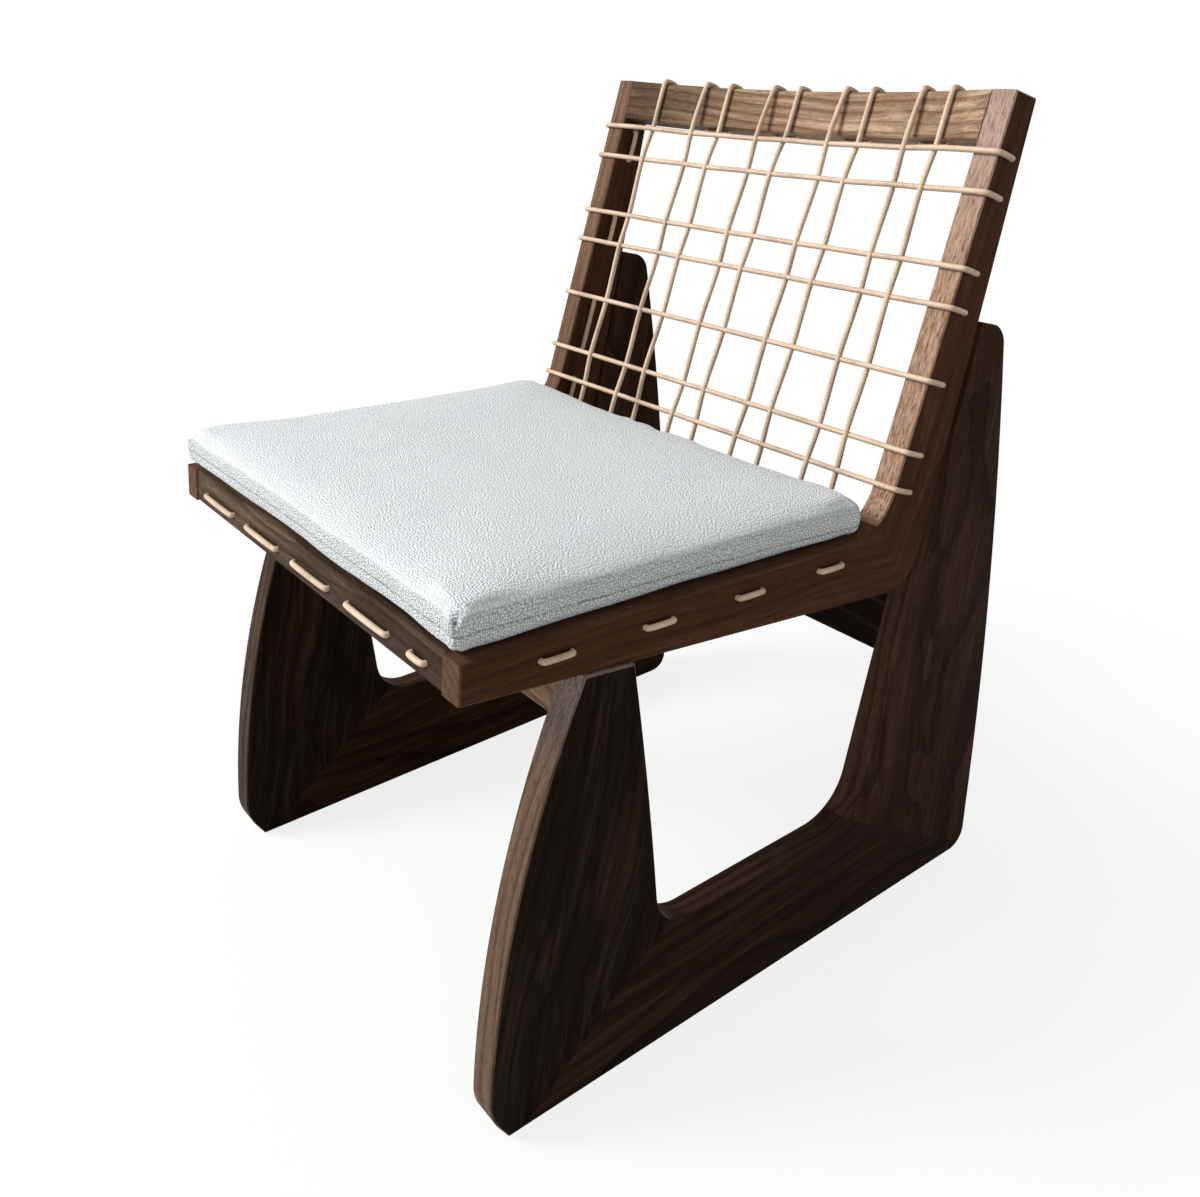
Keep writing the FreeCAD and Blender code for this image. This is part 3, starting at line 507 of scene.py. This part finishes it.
def finish_shader(tree, shader, results, bump, finish):
    """Links color, roughness and height to the shader, and sets its finish."""
    distance, strength = bump
    relief = node(tree, "ShaderNodeBump", {
        "Height": results["Height"], "Distance": distance, "Strength": strength})
    tree.links.new(results["Color"], shader.inputs["Base Color"])
    tree.links.new(results["Roughness"], shader.inputs["Roughness"])
    tree.links.new(relief.outputs["Normal"], shader.inputs["Normal"])
    for name, value in finish.items():
        shader.inputs[name].default_value = value


def with_alpha(color):
    """A color with full alpha."""
    return (*color, 1.0)


# Boards

# Bump of the wood, its distance in metres and its strength, and the shine of its finish
WOOD_BUMP = (0.0004, 0.55)
WOOD_FINISH = {"Specular IOR Level": 0.06, "Specular Tint": (0.72, 0.46, 0.30, 1.0)}

# How far a face turns to the side, from an edge to a broad face
# Edges get a paler color, partly the wood's own and partly painted light and sheen
BROAD_FACE = (0.55, 0.95)

# Relief of the grain where the painted sheen breaks up and where it is whole, and its share at both
PAINTED_SHEEN_BREAKUP = (0.15, 0.29, 0.2, 1.0)

# Part of each color channel that is left where a board's end is darkest
DARK_END_SHADE = (0.22, 0.20, 0.20, 1.0)

# Offset of the growth rings' heart in metres, along the grain and across it: for the first board of each
# side, for the first cross board, and what is added from board to board
SIDE_HEARTS = {"right": (0.0, -0.19, 0.045), "left": (0.0, 0.37, 0.045)}
SIDE_HEART_STEP = (0.31, 0.0, 0.06)
CROSS_HEART = (0.0, 0.05, 0.0)
CROSS_HEART_STEP = (0.4, 0.0, 0.02)

# Grain of the joinery: its angle in degrees and the offset of its heart
JOINERY_ANGLE = 60.0
JOINERY_HEART = (0.1, 0.2, 0.3)

# A board with more than this share of the side frame's color also has the side frames' figure
WARM = 0.5


def board_material(name, turn, heart, faces, edges, figure, fleck=0.0, painted_sheen=NO_PAINTED_SHEEN, ends=(0.0, 0.0)):
    """Wood with grain along a turned X axis; its faces across X and its edges have a color and a streak."""
    boards = bpy.context.scene.chair_boards
    material, tree, shader, place = new_material(name)
    along = node(tree, "ShaderNodeMapping", {
        "Vector": place["Object"], "Rotation": turn, "Location": heart}).outputs["Vector"]
    sideways = math_node(tree, "ABSOLUTE", coordinate(tree, place["Normal"], "X"))
    broad = spread(tree, sideways, *BROAD_FACE)
    narrow = math_node(tree, "SUBTRACT", 1.0, broad)
    color, streak = (
        mixed(tree, broad, with_alpha(edge), with_alpha(face)) for face, edge in zip(faces, edges))
    calm = mixed_value(tree, narrow, 1.0, 1.0 - FLECK_CALM * fleck)
    results = placed_group(tree, "Board grain", {
        "Vector": along,
        "Color": color,
        "Streak": streak,
        "Ring Width": boards.ring_width,
        "Pore Length": boards.pore_length,
        "Figure": math_node(tree, "MULTIPLY", figure, calm),
        "Fleck": math_node(tree, "MULTIPLY", narrow, fleck),
    })
    # Sheen painted as a grey highlight on the upper edges, grown by height and broken up by the grain
    low, high, share = painted_sheen
    painted_sheen_share = spread(tree, coordinate(tree, place["Object"], "Z"), low, high, 0.0, share)
    painted_sheen_share = math_node(tree, "MULTIPLY", painted_sheen_share, narrow)
    painted_sheen_share = math_node(tree, "MULTIPLY", painted_sheen_share, spread(tree, results["Height"], *PAINTED_SHEEN_BREAKUP))
    color = mixed(tree, painted_sheen_share, results["Color"], with_alpha(boards.painted_sheen_color))
    limits = LEFT_DARK_END if ends[0] > ends[1] else RIGHT_DARK_END
    end_darkening = spread(tree, coordinate(tree, place["Object"], "X"), *limits, *ends)
    color = darkened(tree, end_darkening, color, DARK_END_SHADE)
    results = {"Color": color, "Roughness": results["Roughness"], "Height": results["Height"]}
    finish_shader(tree, shader, results, WOOD_BUMP, WOOD_FINISH)
    return material


def dress(name, material):
    """Gives a CAD node's object a material of its own."""
    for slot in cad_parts[name].material_slots:
        slot.link = "OBJECT"
        slot.material = material


def between(dark, pale, share):
    """A color that lies a share of the way from a dark one to a pale one."""
    return Vector(dark).lerp(Vector(pale), share)


def side_turn(angle):
    """Turn that brings a grain line, at an angle in degrees in the side view, onto X."""
    return (-math.radians(angle), 0.0, -math.pi / 2)


def stepped(first, step, index):
    """A place that is some steps on from the first one."""
    return [start + index * move for start, move in zip(first, step)]


class CHAIR_OT_side_boards(Operator):
    """Dresses the legs, runners, seat side rails and back posts"""
    bl_idname = "chair.side_boards"
    bl_label = "Side boards"

    def execute(self, context):
        boards = context.scene.chair_boards
        for index, (stem, (angle, warmth, *pale)) in enumerate(SIDE_BOARDS.items()):
            color = between(boards.leg_color, boards.side_color, warmth)
            streak = between(boards.leg_streak, boards.side_streak, warmth)
            figure = SIDE_FIGURE if warmth > WARM else LEG_FIGURE
            # Right and left edges differ in paleness only as painted light
            for side, share in zip(SIDES, pale):
                name = stem + "_" + side
                heart = stepped(SIDE_HEARTS[side], SIDE_HEART_STEP, index)
                edges = (between(color, boards.edge_color, share),
                         between(streak, boards.edge_streak, share))
                # Only the right-hand boards get the painted sheen
                painted_sheen = PAINTED_SHEENS.get(stem, NO_PAINTED_SHEEN) if side == "right" else NO_PAINTED_SHEEN
                dress(name, board_material(
                    "wood_" + name, side_turn(angle), heart, (color, streak), edges, figure, share, painted_sheen))
        return {"FINISHED"}


class CHAIR_OT_cross_boards(Operator):
    """Dresses the rails and stretchers that run across the chair"""
    bl_idname = "chair.cross_boards"
    bl_label = "Rails and stretchers"

    def execute(self, context):
        boards = context.scene.chair_boards
        for index, (name, (angle, pale, *ends)) in enumerate(CROSS_BOARDS.items()):
            turn = (math.radians(angle), 0.0, 0.0)
            heart = stepped(CROSS_HEART, CROSS_HEART_STEP, index)
            faces = (between(boards.leg_color, boards.rail_color, pale),
                     between(boards.leg_streak, boards.rail_streak, pale))
            dress(name, board_material("wood_" + name, turn, heart, faces, faces, CROSS_FIGURE, ends=ends))
        return {"FINISHED"}


class CHAIR_OT_joinery(Operator):
    """Dresses the loose tongues and dowels inside the joints"""
    bl_idname = "chair.joinery"
    bl_label = "Tongues and dowels"

    def execute(self, context):
        boards = context.scene.chair_boards
        faces = (boards.edge_color, boards.edge_streak)
        material = board_material(
            "wood_joinery", side_turn(JOINERY_ANGLE), JOINERY_HEART, faces, faces, JOINERY_FIGURE)
        for stem in JOINERY:
            for side in SIDES:
                dress(stem + "_" + side, material)
        return {"FINISHED"}


# Mesh work
def with_normals(piece):
    """Each vertex of a piece with the normal it has before any of them moves."""
    normals = [vertex.normal.copy() for vertex in piece.data.vertices]
    return zip(piece.data.vertices, normals)


def select_only(piece):
    """Makes one object the only one selected, and active."""
    bpy.ops.object.select_all(action="DESELECT")
    piece.select_set(True)
    bpy.context.view_layer.objects.active = piece


def edit_all(piece):
    """Opens a piece for edits, with all of its mesh selected."""
    select_only(piece)
    bpy.ops.object.mode_set(mode="EDIT")
    bpy.ops.mesh.select_all(action="SELECT")


def merged_copy(node_name, name):
    """A copy of a CAD node's mesh as a new object, with its loose triangles merged."""
    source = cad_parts[node_name]
    piece = bpy.data.objects.new(name, source.data.copy())
    bpy.context.scene.collection.objects.link(piece)
    piece.data.materials.clear()
    edit_all(piece)
    bpy.ops.mesh.remove_doubles(threshold=SAME_PLACE)
    bpy.ops.mesh.customdata_custom_splitnormals_clear()
    bpy.ops.mesh.normals_make_consistent(inside=False)
    bpy.ops.object.mode_set(mode="OBJECT")
    return piece


def apply_modifier(piece, name, kind, **settings):
    """Adds a modifier with its settings and applies it."""
    modifier = piece.modifiers.new(name, kind)
    for label, value in settings.items():
        setattr(modifier, label, value)
    select_only(piece)
    bpy.ops.object.modifier_apply(modifier=name)


def smooth_shade(piece):
    """Shades all faces of a piece smooth."""
    select_only(piece)
    bpy.ops.object.shade_smooth()


# Cords

# Bump of the skin, its distance in metres and its strength, and its finish
CORD_BUMP = (0.0003, 0.5)
CORD_FINISH = {"Specular IOR Level": 0.4}

# Shade painted on the undersides: by how far up the normal points, from its full share to none
CORD_PAINTED_UNDERSIDE_SHADE = (-0.9, 0.5, 0.75, 0.0)

# Two triangles that lie this flat to each other, in degrees, are joined to one quad of any shape
FLAT_ANGLE = 0.5
ANY_SHAPE = 180


def cord_material(cord):
    """Cord skin with shade painted on its undersides."""
    material, tree, shader, place = new_material("cord_skin")
    painted_underside_shade = spread(tree, coordinate(tree, place["Normal"], "Z"), *CORD_PAINTED_UNDERSIDE_SHADE)
    results = placed_group(tree, "Cord skin", {
        "Vector": place["Object"], "Shade": with_alpha(cord.shade),
        "Color": mixed(tree, painted_underside_shade, with_alpha(cord.color), with_alpha(cord.shade))})
    finish_shader(tree, shader, results, CORD_BUMP, CORD_FINISH)
    return material


class CHAIR_OT_cords(Operator):
    """Rounds the three cords of the lacing and gives them their skin"""
    bl_idname = "chair.cords"
    bl_label = "Cords"

    def execute(self, context):
        cord = context.scene.chair_cord
        material = cord_material(cord)
        for name in CORDS:
            piece = merged_copy(name, name + "_round")
            edit_all(piece)
            bpy.ops.mesh.tris_convert_to_quads(
                face_threshold=math.radians(FLAT_ANGLE), shape_threshold=math.radians(ANY_SHAPE))
            bpy.ops.transform.shrink_fatten(value=cord.fullness)
            bpy.ops.object.mode_set(mode="OBJECT")
            apply_modifier(piece, "round", "SUBSURF", levels=2, render_levels=2)
            smooth_shade(piece)
            piece.data.materials.append(material)
            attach(piece, "frame")
            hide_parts(name)
        return {"FINISHED"}


# Cushion

# Weight and stiffness of the cloth in the simulation
CLOTH = {"quality": 6, "mass": 0.25, "tension_stiffness": 12.0, "compression_stiffness": 12.0,
         "shear_stiffness": 6.0, "bending_stiffness": 0.4, "use_pressure": True}

# How far up a normal points: at least on the top, at most on the map's sides and on the sewn sides
TOP_NORMAL = 0.5
MAP_SIDE_NORMAL = 0.75
SEWN_SIDE_NORMAL = 0.8

# Strip along the sides on which the pad's height at its edge is measured, in metres, and how strongly
# each smoothing step evens the crown out
EDGE_STRIP = 0.02
EVENING_FACTOR = 0.6

# Wander of the side seam's groove up and down, in metres, and the seed of its noise
GROOVE_WANDER = 0.0016
GROOVE_SEED = 0.7

# Corner seams: width beside the side seam's, how far they go from the corner in metres, and how dark
# the shade painted in them is
CORNER_WIDTH = 1.5
CORNER_REACH = 0.020
CORNER_PAINTED_SHADE = 0.35

# Puckers: their place as a share of the height, and their size in metres
DIMPLE_PLACE = 0.84
DIMPLE_SIZE = 0.0045

# Slow waves of the cover above a foot that stays flat: how far they go, in metres, and bends per metre
FLAT_FOOT = 0.002
SLOW_REACH = 0.0016
SLOW_BENDS = 9.0

# Wrinkles of the sides: how far they go, in metres, and bends per metre along the side and up it
WRINKLE_REACH = 0.0011
WRINKLE_BENDS = 26.0
WRINKLE_LAYERS = 150.0


def seat_place(slope):
    """The seat's own place: X across, Y back along its slope and Z square to it, from its foot's front."""
    low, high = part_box("seat_cushion")
    turn = Matrix.Rotation(-slope, 4, "X")
    rest = turn.inverted()
    corners = [rest @ vertex.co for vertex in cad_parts["seat_cushion"].data.vertices]
    middle = (low[0] + high[0]) / 2
    start = Vector((middle, min(spot.y for spot in corners), min(spot.z for spot in corners)))
    return turn @ Matrix.Translation(start)


def swollen(piece, cushion):
    """Swells the cover with cloth under pressure, and holds each point near its start."""
    cloth = piece.modifiers.new("cover", "CLOTH")
    for name, value in CLOTH.items():
        setattr(cloth.settings, name, value)
    cloth.settings.uniform_pressure_force = cushion.pressure
    cloth.settings.effector_weights.gravity = 0.0
    cloth.point_cache.frame_start = 1
    cloth.point_cache.frame_end = cushion.frames
    scene = bpy.context.scene
    for step in range(1, cushion.frames + 1):
        scene.frame_set(step)
    shape = piece.evaluated_get(bpy.context.evaluated_depsgraph_get()).to_mesh()
    places = [vertex.co.copy() for vertex in shape.vertices]
    piece.modifiers.remove(cloth)
    scene.frame_set(1)
    for (vertex, normal), place in zip(with_normals(piece), places):
        rise = (place - vertex.co).dot(normal)
        vertex.co += normal * min(cushion.swell, max(-cushion.give, rise))
        vertex.co.z = max(vertex.co.z, 0.0)


def smoothed_top(piece, cushion, width, depth):
    """Evens the crown out, fully in the middle of the top and not at all at its edges."""
    top = piece.vertex_groups.new(name="top")
    for vertex, normal in with_normals(piece):
        margin = min(width / 2 - abs(vertex.co.x), vertex.co.y, depth - vertex.co.y)
        share = min(1.0, max(0.0, (margin - cushion.hem) / cushion.hem))
        if normal.z > TOP_NORMAL and share > 0.0:
            top.add([vertex.index], share, "REPLACE")
    apply_modifier(piece, "even", "SMOOTH", factor=EVENING_FACTOR, iterations=cushion.evening,
                   vertex_group="top")
    piece.vertex_groups.clear()


def squaring(x, y, power):
    """How much further out a squared corner lies than a round one, in the direction of a place."""
    reach = math.hypot(x, y)
    return ((x / reach) ** power + (y / reach) ** power) ** (-1 / power)


def fitted(piece, cushion, width, depth, height):
    """Stretches the cover past the pad, bows its sides out, and returns its half width, front and back."""
    low_x, high_x = (pick(vertex.co.x for vertex in piece.data.vertices) for pick in (min, max))
    low_y, high_y = (pick(vertex.co.y for vertex in piece.data.vertices) for pick in (min, max))
    half = width / 2 + cushion.overhang
    front = -cushion.forward
    back = depth + cushion.overhang
    middle = (front + back) / 2
    for vertex in piece.data.vertices:
        across = 2 * (vertex.co.x - low_x) / (high_x - low_x) - 1
        along = 2 * (vertex.co.y - low_y) / (high_y - low_y) - 1
        drawn_in = cushion.tuck * max(0.0, 1 - vertex.co.z / cushion.tuck_height) ** 2
        x = abs(across) * (half - drawn_in)
        y = abs(along) * ((back - front) / 2 - drawn_in)
        in_x = x - (half - cushion.corner_zone)
        in_y = y - ((back - front) / 2 - cushion.corner_zone)
        if in_x > 0 and in_y > 0:
            fill = squaring(in_x, in_y, cushion.corner_power) - 1
            x += in_x * fill
            y += in_y * fill
        x += cushion.bulge * (1 - along ** 2) * abs(across)
        y += cushion.bulge * (1 - across ** 2) * abs(along)
        vertex.co.x = math.copysign(x, across)
        vertex.co.y = middle + math.copysign(y, along)
        vertex.co.z *= 1 + cushion.loft / height
    return half, front, back


def bell(value):
    """A smooth bump that is 1 at zero and fades out on both sides."""
    return math.exp(-value ** 2)


def seam_sway(x, y):
    """How far the side seam wanders up or down at a place."""
    return GROOVE_WANDER * noise.noise(Vector((x * SEAM_BENDS, y * SEAM_BENDS, GROOVE_SEED)))


def sewn(piece, cushion, half, front, back, height):
    """Presses in the side seam, the corner seams and the puckers, and keeps the shade painted in the corner
    seams and puckers.
    """
    fall = cushion.seam_fall / (back - front)
    puckers = []
    for vertex, normal in with_normals(piece):
        spot = vertex.co
        seam = cushion.seam_height - fall * spot.y + seam_sway(spot.x, spot.y)
        upright = 1.0 - min(1.0, abs(normal.z) / SEWN_SIDE_NORMAL)
        push = cushion.seam_depth * bell((spot.z - seam) / cushion.seam_width) * upright
        side_gap = half - abs(spot.x)
        end_gap = min(spot.y - front, back - spot.y)
        across = (side_gap - end_gap) / (CORNER_WIDTH * cushion.seam_width)
        corner_line = bell(across) * bell((side_gap + end_gap) / CORNER_REACH)
        dimple = corner_line * bell((spot.z - height * DIMPLE_PLACE) / DIMPLE_SIZE)
        push += cushion.seam_depth * corner_line + cushion.dimple_depth * dimple
        # Shade painted in the corner seams and puckers
        puckers.append(min(1.0, CORNER_PAINTED_SHADE * corner_line * upright + dimple))
        vertex.co = spot - normal * push
    piece.data.attributes.new("pucker", "FLOAT", "POINT").data.foreach_set("value", puckers)


def rippled(piece):
    """Gives the cover slow unevenness and small wrinkles along its sides."""
    for vertex, normal in with_normals(piece):
        spot = vertex.co
        if spot.z < FLAT_FOOT:
            continue
        slow = noise.noise(spot * SLOW_BENDS) * SLOW_REACH
        side = 1.0 - min(1.0, abs(normal.z))
        layered = Vector((spot.x * WRINKLE_BENDS, spot.y * WRINKLE_BENDS, spot.z * WRINKLE_LAYERS))
        vertex.co = spot + normal * (slow + noise.noise(layered) * WRINKLE_REACH * side)


def weave_map(piece, half, front, back, height):
    """Lays the cloth's map over the cover: flat on top, and folded down each side without a break."""
    spots = [vertex.co.copy() for vertex in piece.data.vertices]
    corners = [loop.vertex_index for loop in piece.data.loops]
    places = [0.0] * (2 * len(corners))
    for polygon in piece.data.polygons:
        center = polygon.center
        side_gap = half - abs(center.x)
        end_gap = min(center.y - front, back - center.y)
        on_side = abs(polygon.normal.z) < MAP_SIDE_NORMAL and center.z < height
        for index in polygon.loop_indices:
            spot = spots[corners[index]]
            drop = height - spot.z
            u, v = spot.x, spot.y
            if on_side and side_gap < end_gap:
                u = math.copysign(half + drop, spot.x)
            elif on_side:
                v = front - drop if spot.y < (front + back) / 2 else back + drop
            places[2 * index:2 * index + 2] = (u, v)
    piece.data.uv_layers.new(name="weave").data.foreach_set("uv", places)


# Bump of the cloth, its distance in metres and its strength, and its finish
CLOTH_BUMP = (0.0010, 0.9)
CLOTH_FINISH = {"Specular IOR Level": 0.25, "Sheen Weight": 0.15}

# How far up the normal points where the sides begin and where they are whole, which also sets where
# the darker shade painted in the side gaps shows, and how much higher the knots stand there
CLOTH_SIDE = (0.8, 0.3)
SIDE_RELIEF = 1.7

# Sewn line: its half width in metres, its depth beside a knot's height, and the shade painted in its
# groove:
# how dark it is and its color
STITCH_WIDTH = 0.0013
STITCH_DEPTH = 1.4
PAINTED_STITCH_SHADE_SHARE = 0.42
PAINTED_STITCH_SHADE = (0.3, 0.32, 0.34, 1.0)


def cushion_material(cushion, seat, fall):
    """Pebbled cloth with shade painted in the side seam's groove, the corner seams and the puckers."""
    material, tree, shader, place = new_material("cushion_cloth")
    weave = node(tree, "ShaderNodeUVMap", uv_map="weave").outputs["UV"]
    # The sides get darker shade painted between their knots
    upright = spread(tree, coordinate(tree, place["Normal"], "Z"), *CLOTH_SIDE)
    results = placed_group(tree, "Pebbled weave", {
        "Vector": weave, "Pebble": cushion.pebble, "Color": with_alpha(cushion.color),
        "Gap": mixed(tree, upright, with_alpha(cushion.gap), with_alpha(cushion.side_gap))})
    turn = seat.inverted()
    flat = node(tree, "ShaderNodeMapping", {
        "Vector": place["Object"], "Rotation": turn.to_euler(),
        "Location": turn.translation}).outputs["Vector"]
    groove = placed_group(tree, "Sewn seam", {
        "Vector": flat, "Seam Height": cushion.seam_height, "Fall": fall, "Width": STITCH_WIDTH})["Groove"]
    relief = math_node(tree, "MULTIPLY", results["Height"], mixed_value(tree, upright, 1.0, SIDE_RELIEF))
    height = math_node(tree, "SUBTRACT", relief, math_node(tree, "MULTIPLY", groove, STITCH_DEPTH))
    # The seam's groove, the corner seams and the puckers get painted shade
    pucker = node(tree, "ShaderNodeAttribute", attribute_name="pucker").outputs["Fac"]
    painted_shade_share = math_node(tree, "MAXIMUM", math_node(tree, "MULTIPLY", groove, PAINTED_STITCH_SHADE_SHARE), pucker)
    color = darkened(tree, painted_shade_share, results["Color"], PAINTED_STITCH_SHADE)
    results = {"Color": color, "Roughness": results["Roughness"], "Height": height}
    finish_shader(tree, shader, results, CLOTH_BUMP, CLOTH_FINISH)
    return material


class CHAIR_OT_cushion(Operator):
    """Makes the seat cushion: a swollen cover with sewn sides and puckered corners"""
    bl_idname = "chair.cushion"
    bl_label = "Seat cushion"

    def execute(self, context):
        cushion = context.scene.chair_cushion
        seat = seat_place(cushion.slope)
        piece = merged_copy("seat_cushion", "seat_cushion_cover")
        piece.data.transform(seat.inverted())
        depth = max(vertex.co.y for vertex in piece.data.vertices)
        width = 2 * max(vertex.co.x for vertex in piece.data.vertices)
        edit_all(piece)
        bpy.ops.transform.shrink_fatten(value=-cushion.inset)
        bpy.ops.object.mode_set(mode="OBJECT")
        apply_modifier(piece, "mesh", "REMESH", mode="VOXEL", voxel_size=cushion.voxel)
        height = max(v.co.z for v in piece.data.vertices if abs(v.co.x) > width / 2 - EDGE_STRIP)
        swollen(piece, cushion)
        smoothed_top(piece, cushion, width, depth)
        apply_modifier(piece, "fine", "SUBSURF", levels=1, render_levels=1)
        half, front, back = fitted(piece, cushion, width, depth, height)
        height += cushion.loft
        rippled(piece)
        piece.data.update()
        sewn(piece, cushion, half, front, back, height)
        weave_map(piece, half, front, back, height)
        piece.data.transform(seat)
        smooth_shade(piece)
        piece.data.materials.append(cushion_material(cushion, seat, cushion.seam_fall / (back - front)))
        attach(piece, "cushion")
        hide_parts("seat_cushion")
        return {"FINISHED"}


# Stage

# Lamps: place and size in metres, and the place that both look at
KEY_LAMP = ((-2.3, -3.5, 3.5), 1.7)
FILL_LAMP = ((2.6, -1.2, 1.6), 2.0)
LAMP_AIM = (0.0, 0.0, 0.4)

# Floor: size in metres, roughness, and the distances from its middle between which the camera sees it
# turn white, with the share of white at both
FLOOR_SIZE = 14.0
FLOOR_ROUGHNESS = 0.9
FLOOR_FADE = (0.35, 1.1, 0.82, 1.0)

# Whites of the floor and of the background
FLOOR_WHITE = (1.0, 1.0, 0.992, 1.0)
SKY_WHITE = (1.0, 1.0, 0.996, 1.0)

# Width of the camera's sensor, in millimetres
SENSOR_WIDTH = 36.0


def area_lamp(name, place, size, power):
    """A square soft lamp that looks at the chair."""
    lamp = bpy.data.lights.new(name, "AREA")
    lamp.size = size
    lamp.energy = power
    holder = bpy.data.objects.new(name, lamp)
    bpy.context.scene.collection.objects.link(holder)
    holder.location = place
    holder.rotation_euler = (Vector(LAMP_AIM) - Vector(place)).to_track_quat("-Z", "Y").to_euler()


def camera_turn(stage):
    """The camera's turn from its yaw, pitch and roll."""
    flat = math.cos(stage.pitch)
    forward = Vector((-math.sin(stage.yaw) * flat, math.cos(stage.yaw) * flat, -math.sin(stage.pitch)))
    level = Vector((math.cos(stage.yaw), math.sin(stage.yaw), 0.0))
    upward = level.cross(forward)
    right = math.cos(stage.roll) * level + math.sin(stage.roll) * upward
    up = math.cos(stage.roll) * upward - math.sin(stage.roll) * level
    return Matrix((right, up, -forward)).transposed()


def photo_camera(stage):
    """The camera that the photograph was taken with."""
    lens = bpy.data.cameras.new("photo_camera")
    lens.sensor_width = SENSOR_WIDTH
    lens.lens = lens.sensor_width * stage.focal_pixels / stage.image_width
    lens.shift_x = -stage.center_pixels[0] / stage.image_width
    lens.shift_y = stage.center_pixels[1] / stage.image_width
    camera = bpy.data.objects.new("photo_camera", lens)
    bpy.context.scene.collection.objects.link(camera)
    camera.matrix_world = Matrix.Translation(stage.camera_place) @ camera_turn(stage).to_4x4()
    return camera


def floor_material(stage):
    """Pale floor that keeps soft shadows near the chair and turns white further out."""
    material, tree, shader, place = new_material("stage_floor")
    shader.inputs["Base Color"].default_value = with_alpha(stage.floor_color)
    shader.inputs["Roughness"].default_value = FLOOR_ROUGHNESS
    distance = node(tree, "ShaderNodeVectorMath", {0: place["Object"]}, operation="LENGTH").outputs["Value"]
    white = node(tree, "ShaderNodeEmission", {"Color": FLOOR_WHITE, "Strength": 1.0})
    seen = node(tree, "ShaderNodeLightPath").outputs["Is Camera Ray"]
    share = math_node(tree, "MULTIPLY", spread(tree, distance, *FLOOR_FADE), seen)
    both = node(tree, "ShaderNodeMixShader", {0: share, 1: shader.outputs[0], 2: white.outputs[0]})
    tree.links.new(both.outputs[0], tree.nodes["Material Output"].inputs["Surface"])
    return material


def white_world(stage):
    """Even light from all sides, white where the camera sees it and partly so in reflections."""
    world = bpy.data.worlds.new("stage_sky")
    world.use_nodes = True
    tree = world.node_tree
    back = tree.nodes["Background"]
    back.inputs["Color"].default_value = SKY_WHITE
    path = node(tree, "ShaderNodeLightPath").outputs
    seen = math_node(tree, "MAXIMUM", path["Is Camera Ray"], path["Is Transmission Ray"])
    gloss = math_node(tree, "MULTIPLY", path["Is Glossy Ray"], stage.gleam)
    seen = math_node(tree, "MAXIMUM", seen, gloss)
    tree.links.new(spread(tree, seen, 0.0, 1.0, stage.sky, 1.0), back.inputs["Strength"])
    return world


class CHAIR_OT_stage(Operator):
    """Sets the camera, floor, lamps and background"""
    bl_idname = "chair.stage"
    bl_label = "Stage"

    def execute(self, context):
        scene = context.scene
        stage = scene.chair_stage
        scene.camera = photo_camera(stage)
        bpy.ops.object.select_all(action="DESELECT")
        bpy.ops.mesh.primitive_plane_add(size=FLOOR_SIZE)
        floor = context.active_object
        floor.name = "stage_floor"
        floor.data.materials.append(floor_material(stage))
        area_lamp("key_lamp", *KEY_LAMP, stage.key_power)
        area_lamp("fill_lamp", *FILL_LAMP, stage.fill_power)
        scene.world = white_world(stage)
        scene.view_settings.view_transform = "Standard"
        return {"FINISHED"}


STEPS = (CHAIR_OT_stage, CHAIR_OT_cords, CHAIR_OT_side_boards, CHAIR_OT_cross_boards, CHAIR_OT_joinery,
         CHAIR_OT_cushion)


class CHAIR_PT_pieces(Panel):
    """Lists the steps that dress the chair"""
    bl_idname = "CHAIR_PT_pieces"
    bl_label = "Laced easy chair"
    bl_space_type = "VIEW_3D"
    bl_region_type = "UI"
    bl_category = "Chair"

    def draw(self, context):
        for step in STEPS:
            self.layout.operator(step.bl_idname)


SETTINGS = {"chair_boards": BoardSettings, "chair_cord": CordSettings, "chair_cushion": CushionSettings,
            "chair_stage": StageSettings}
CLASSES = (*SETTINGS.values(), *STEPS, CHAIR_PT_pieces)


def register():
    """Registers the classes and their settings."""
    for each in CLASSES:
        bpy.utils.register_class(each)
    for name, kind in SETTINGS.items():
        setattr(bpy.types.Scene, name, PointerProperty(type=kind))


def unregister():
    """Removes the settings and classes."""
    for name in SETTINGS:
        delattr(bpy.types.Scene, name)
    for each in reversed(CLASSES):
        bpy.utils.unregister_class(each)


def main():
    """Builds the scene."""
    register()
    bpy.ops.chair.stage()
    bpy.ops.chair.cords()
    bpy.ops.chair.side_boards()
    bpy.ops.chair.cross_boards()
    bpy.ops.chair.joinery()
    bpy.ops.chair.cushion()


if __name__ == "__main__":
    main()
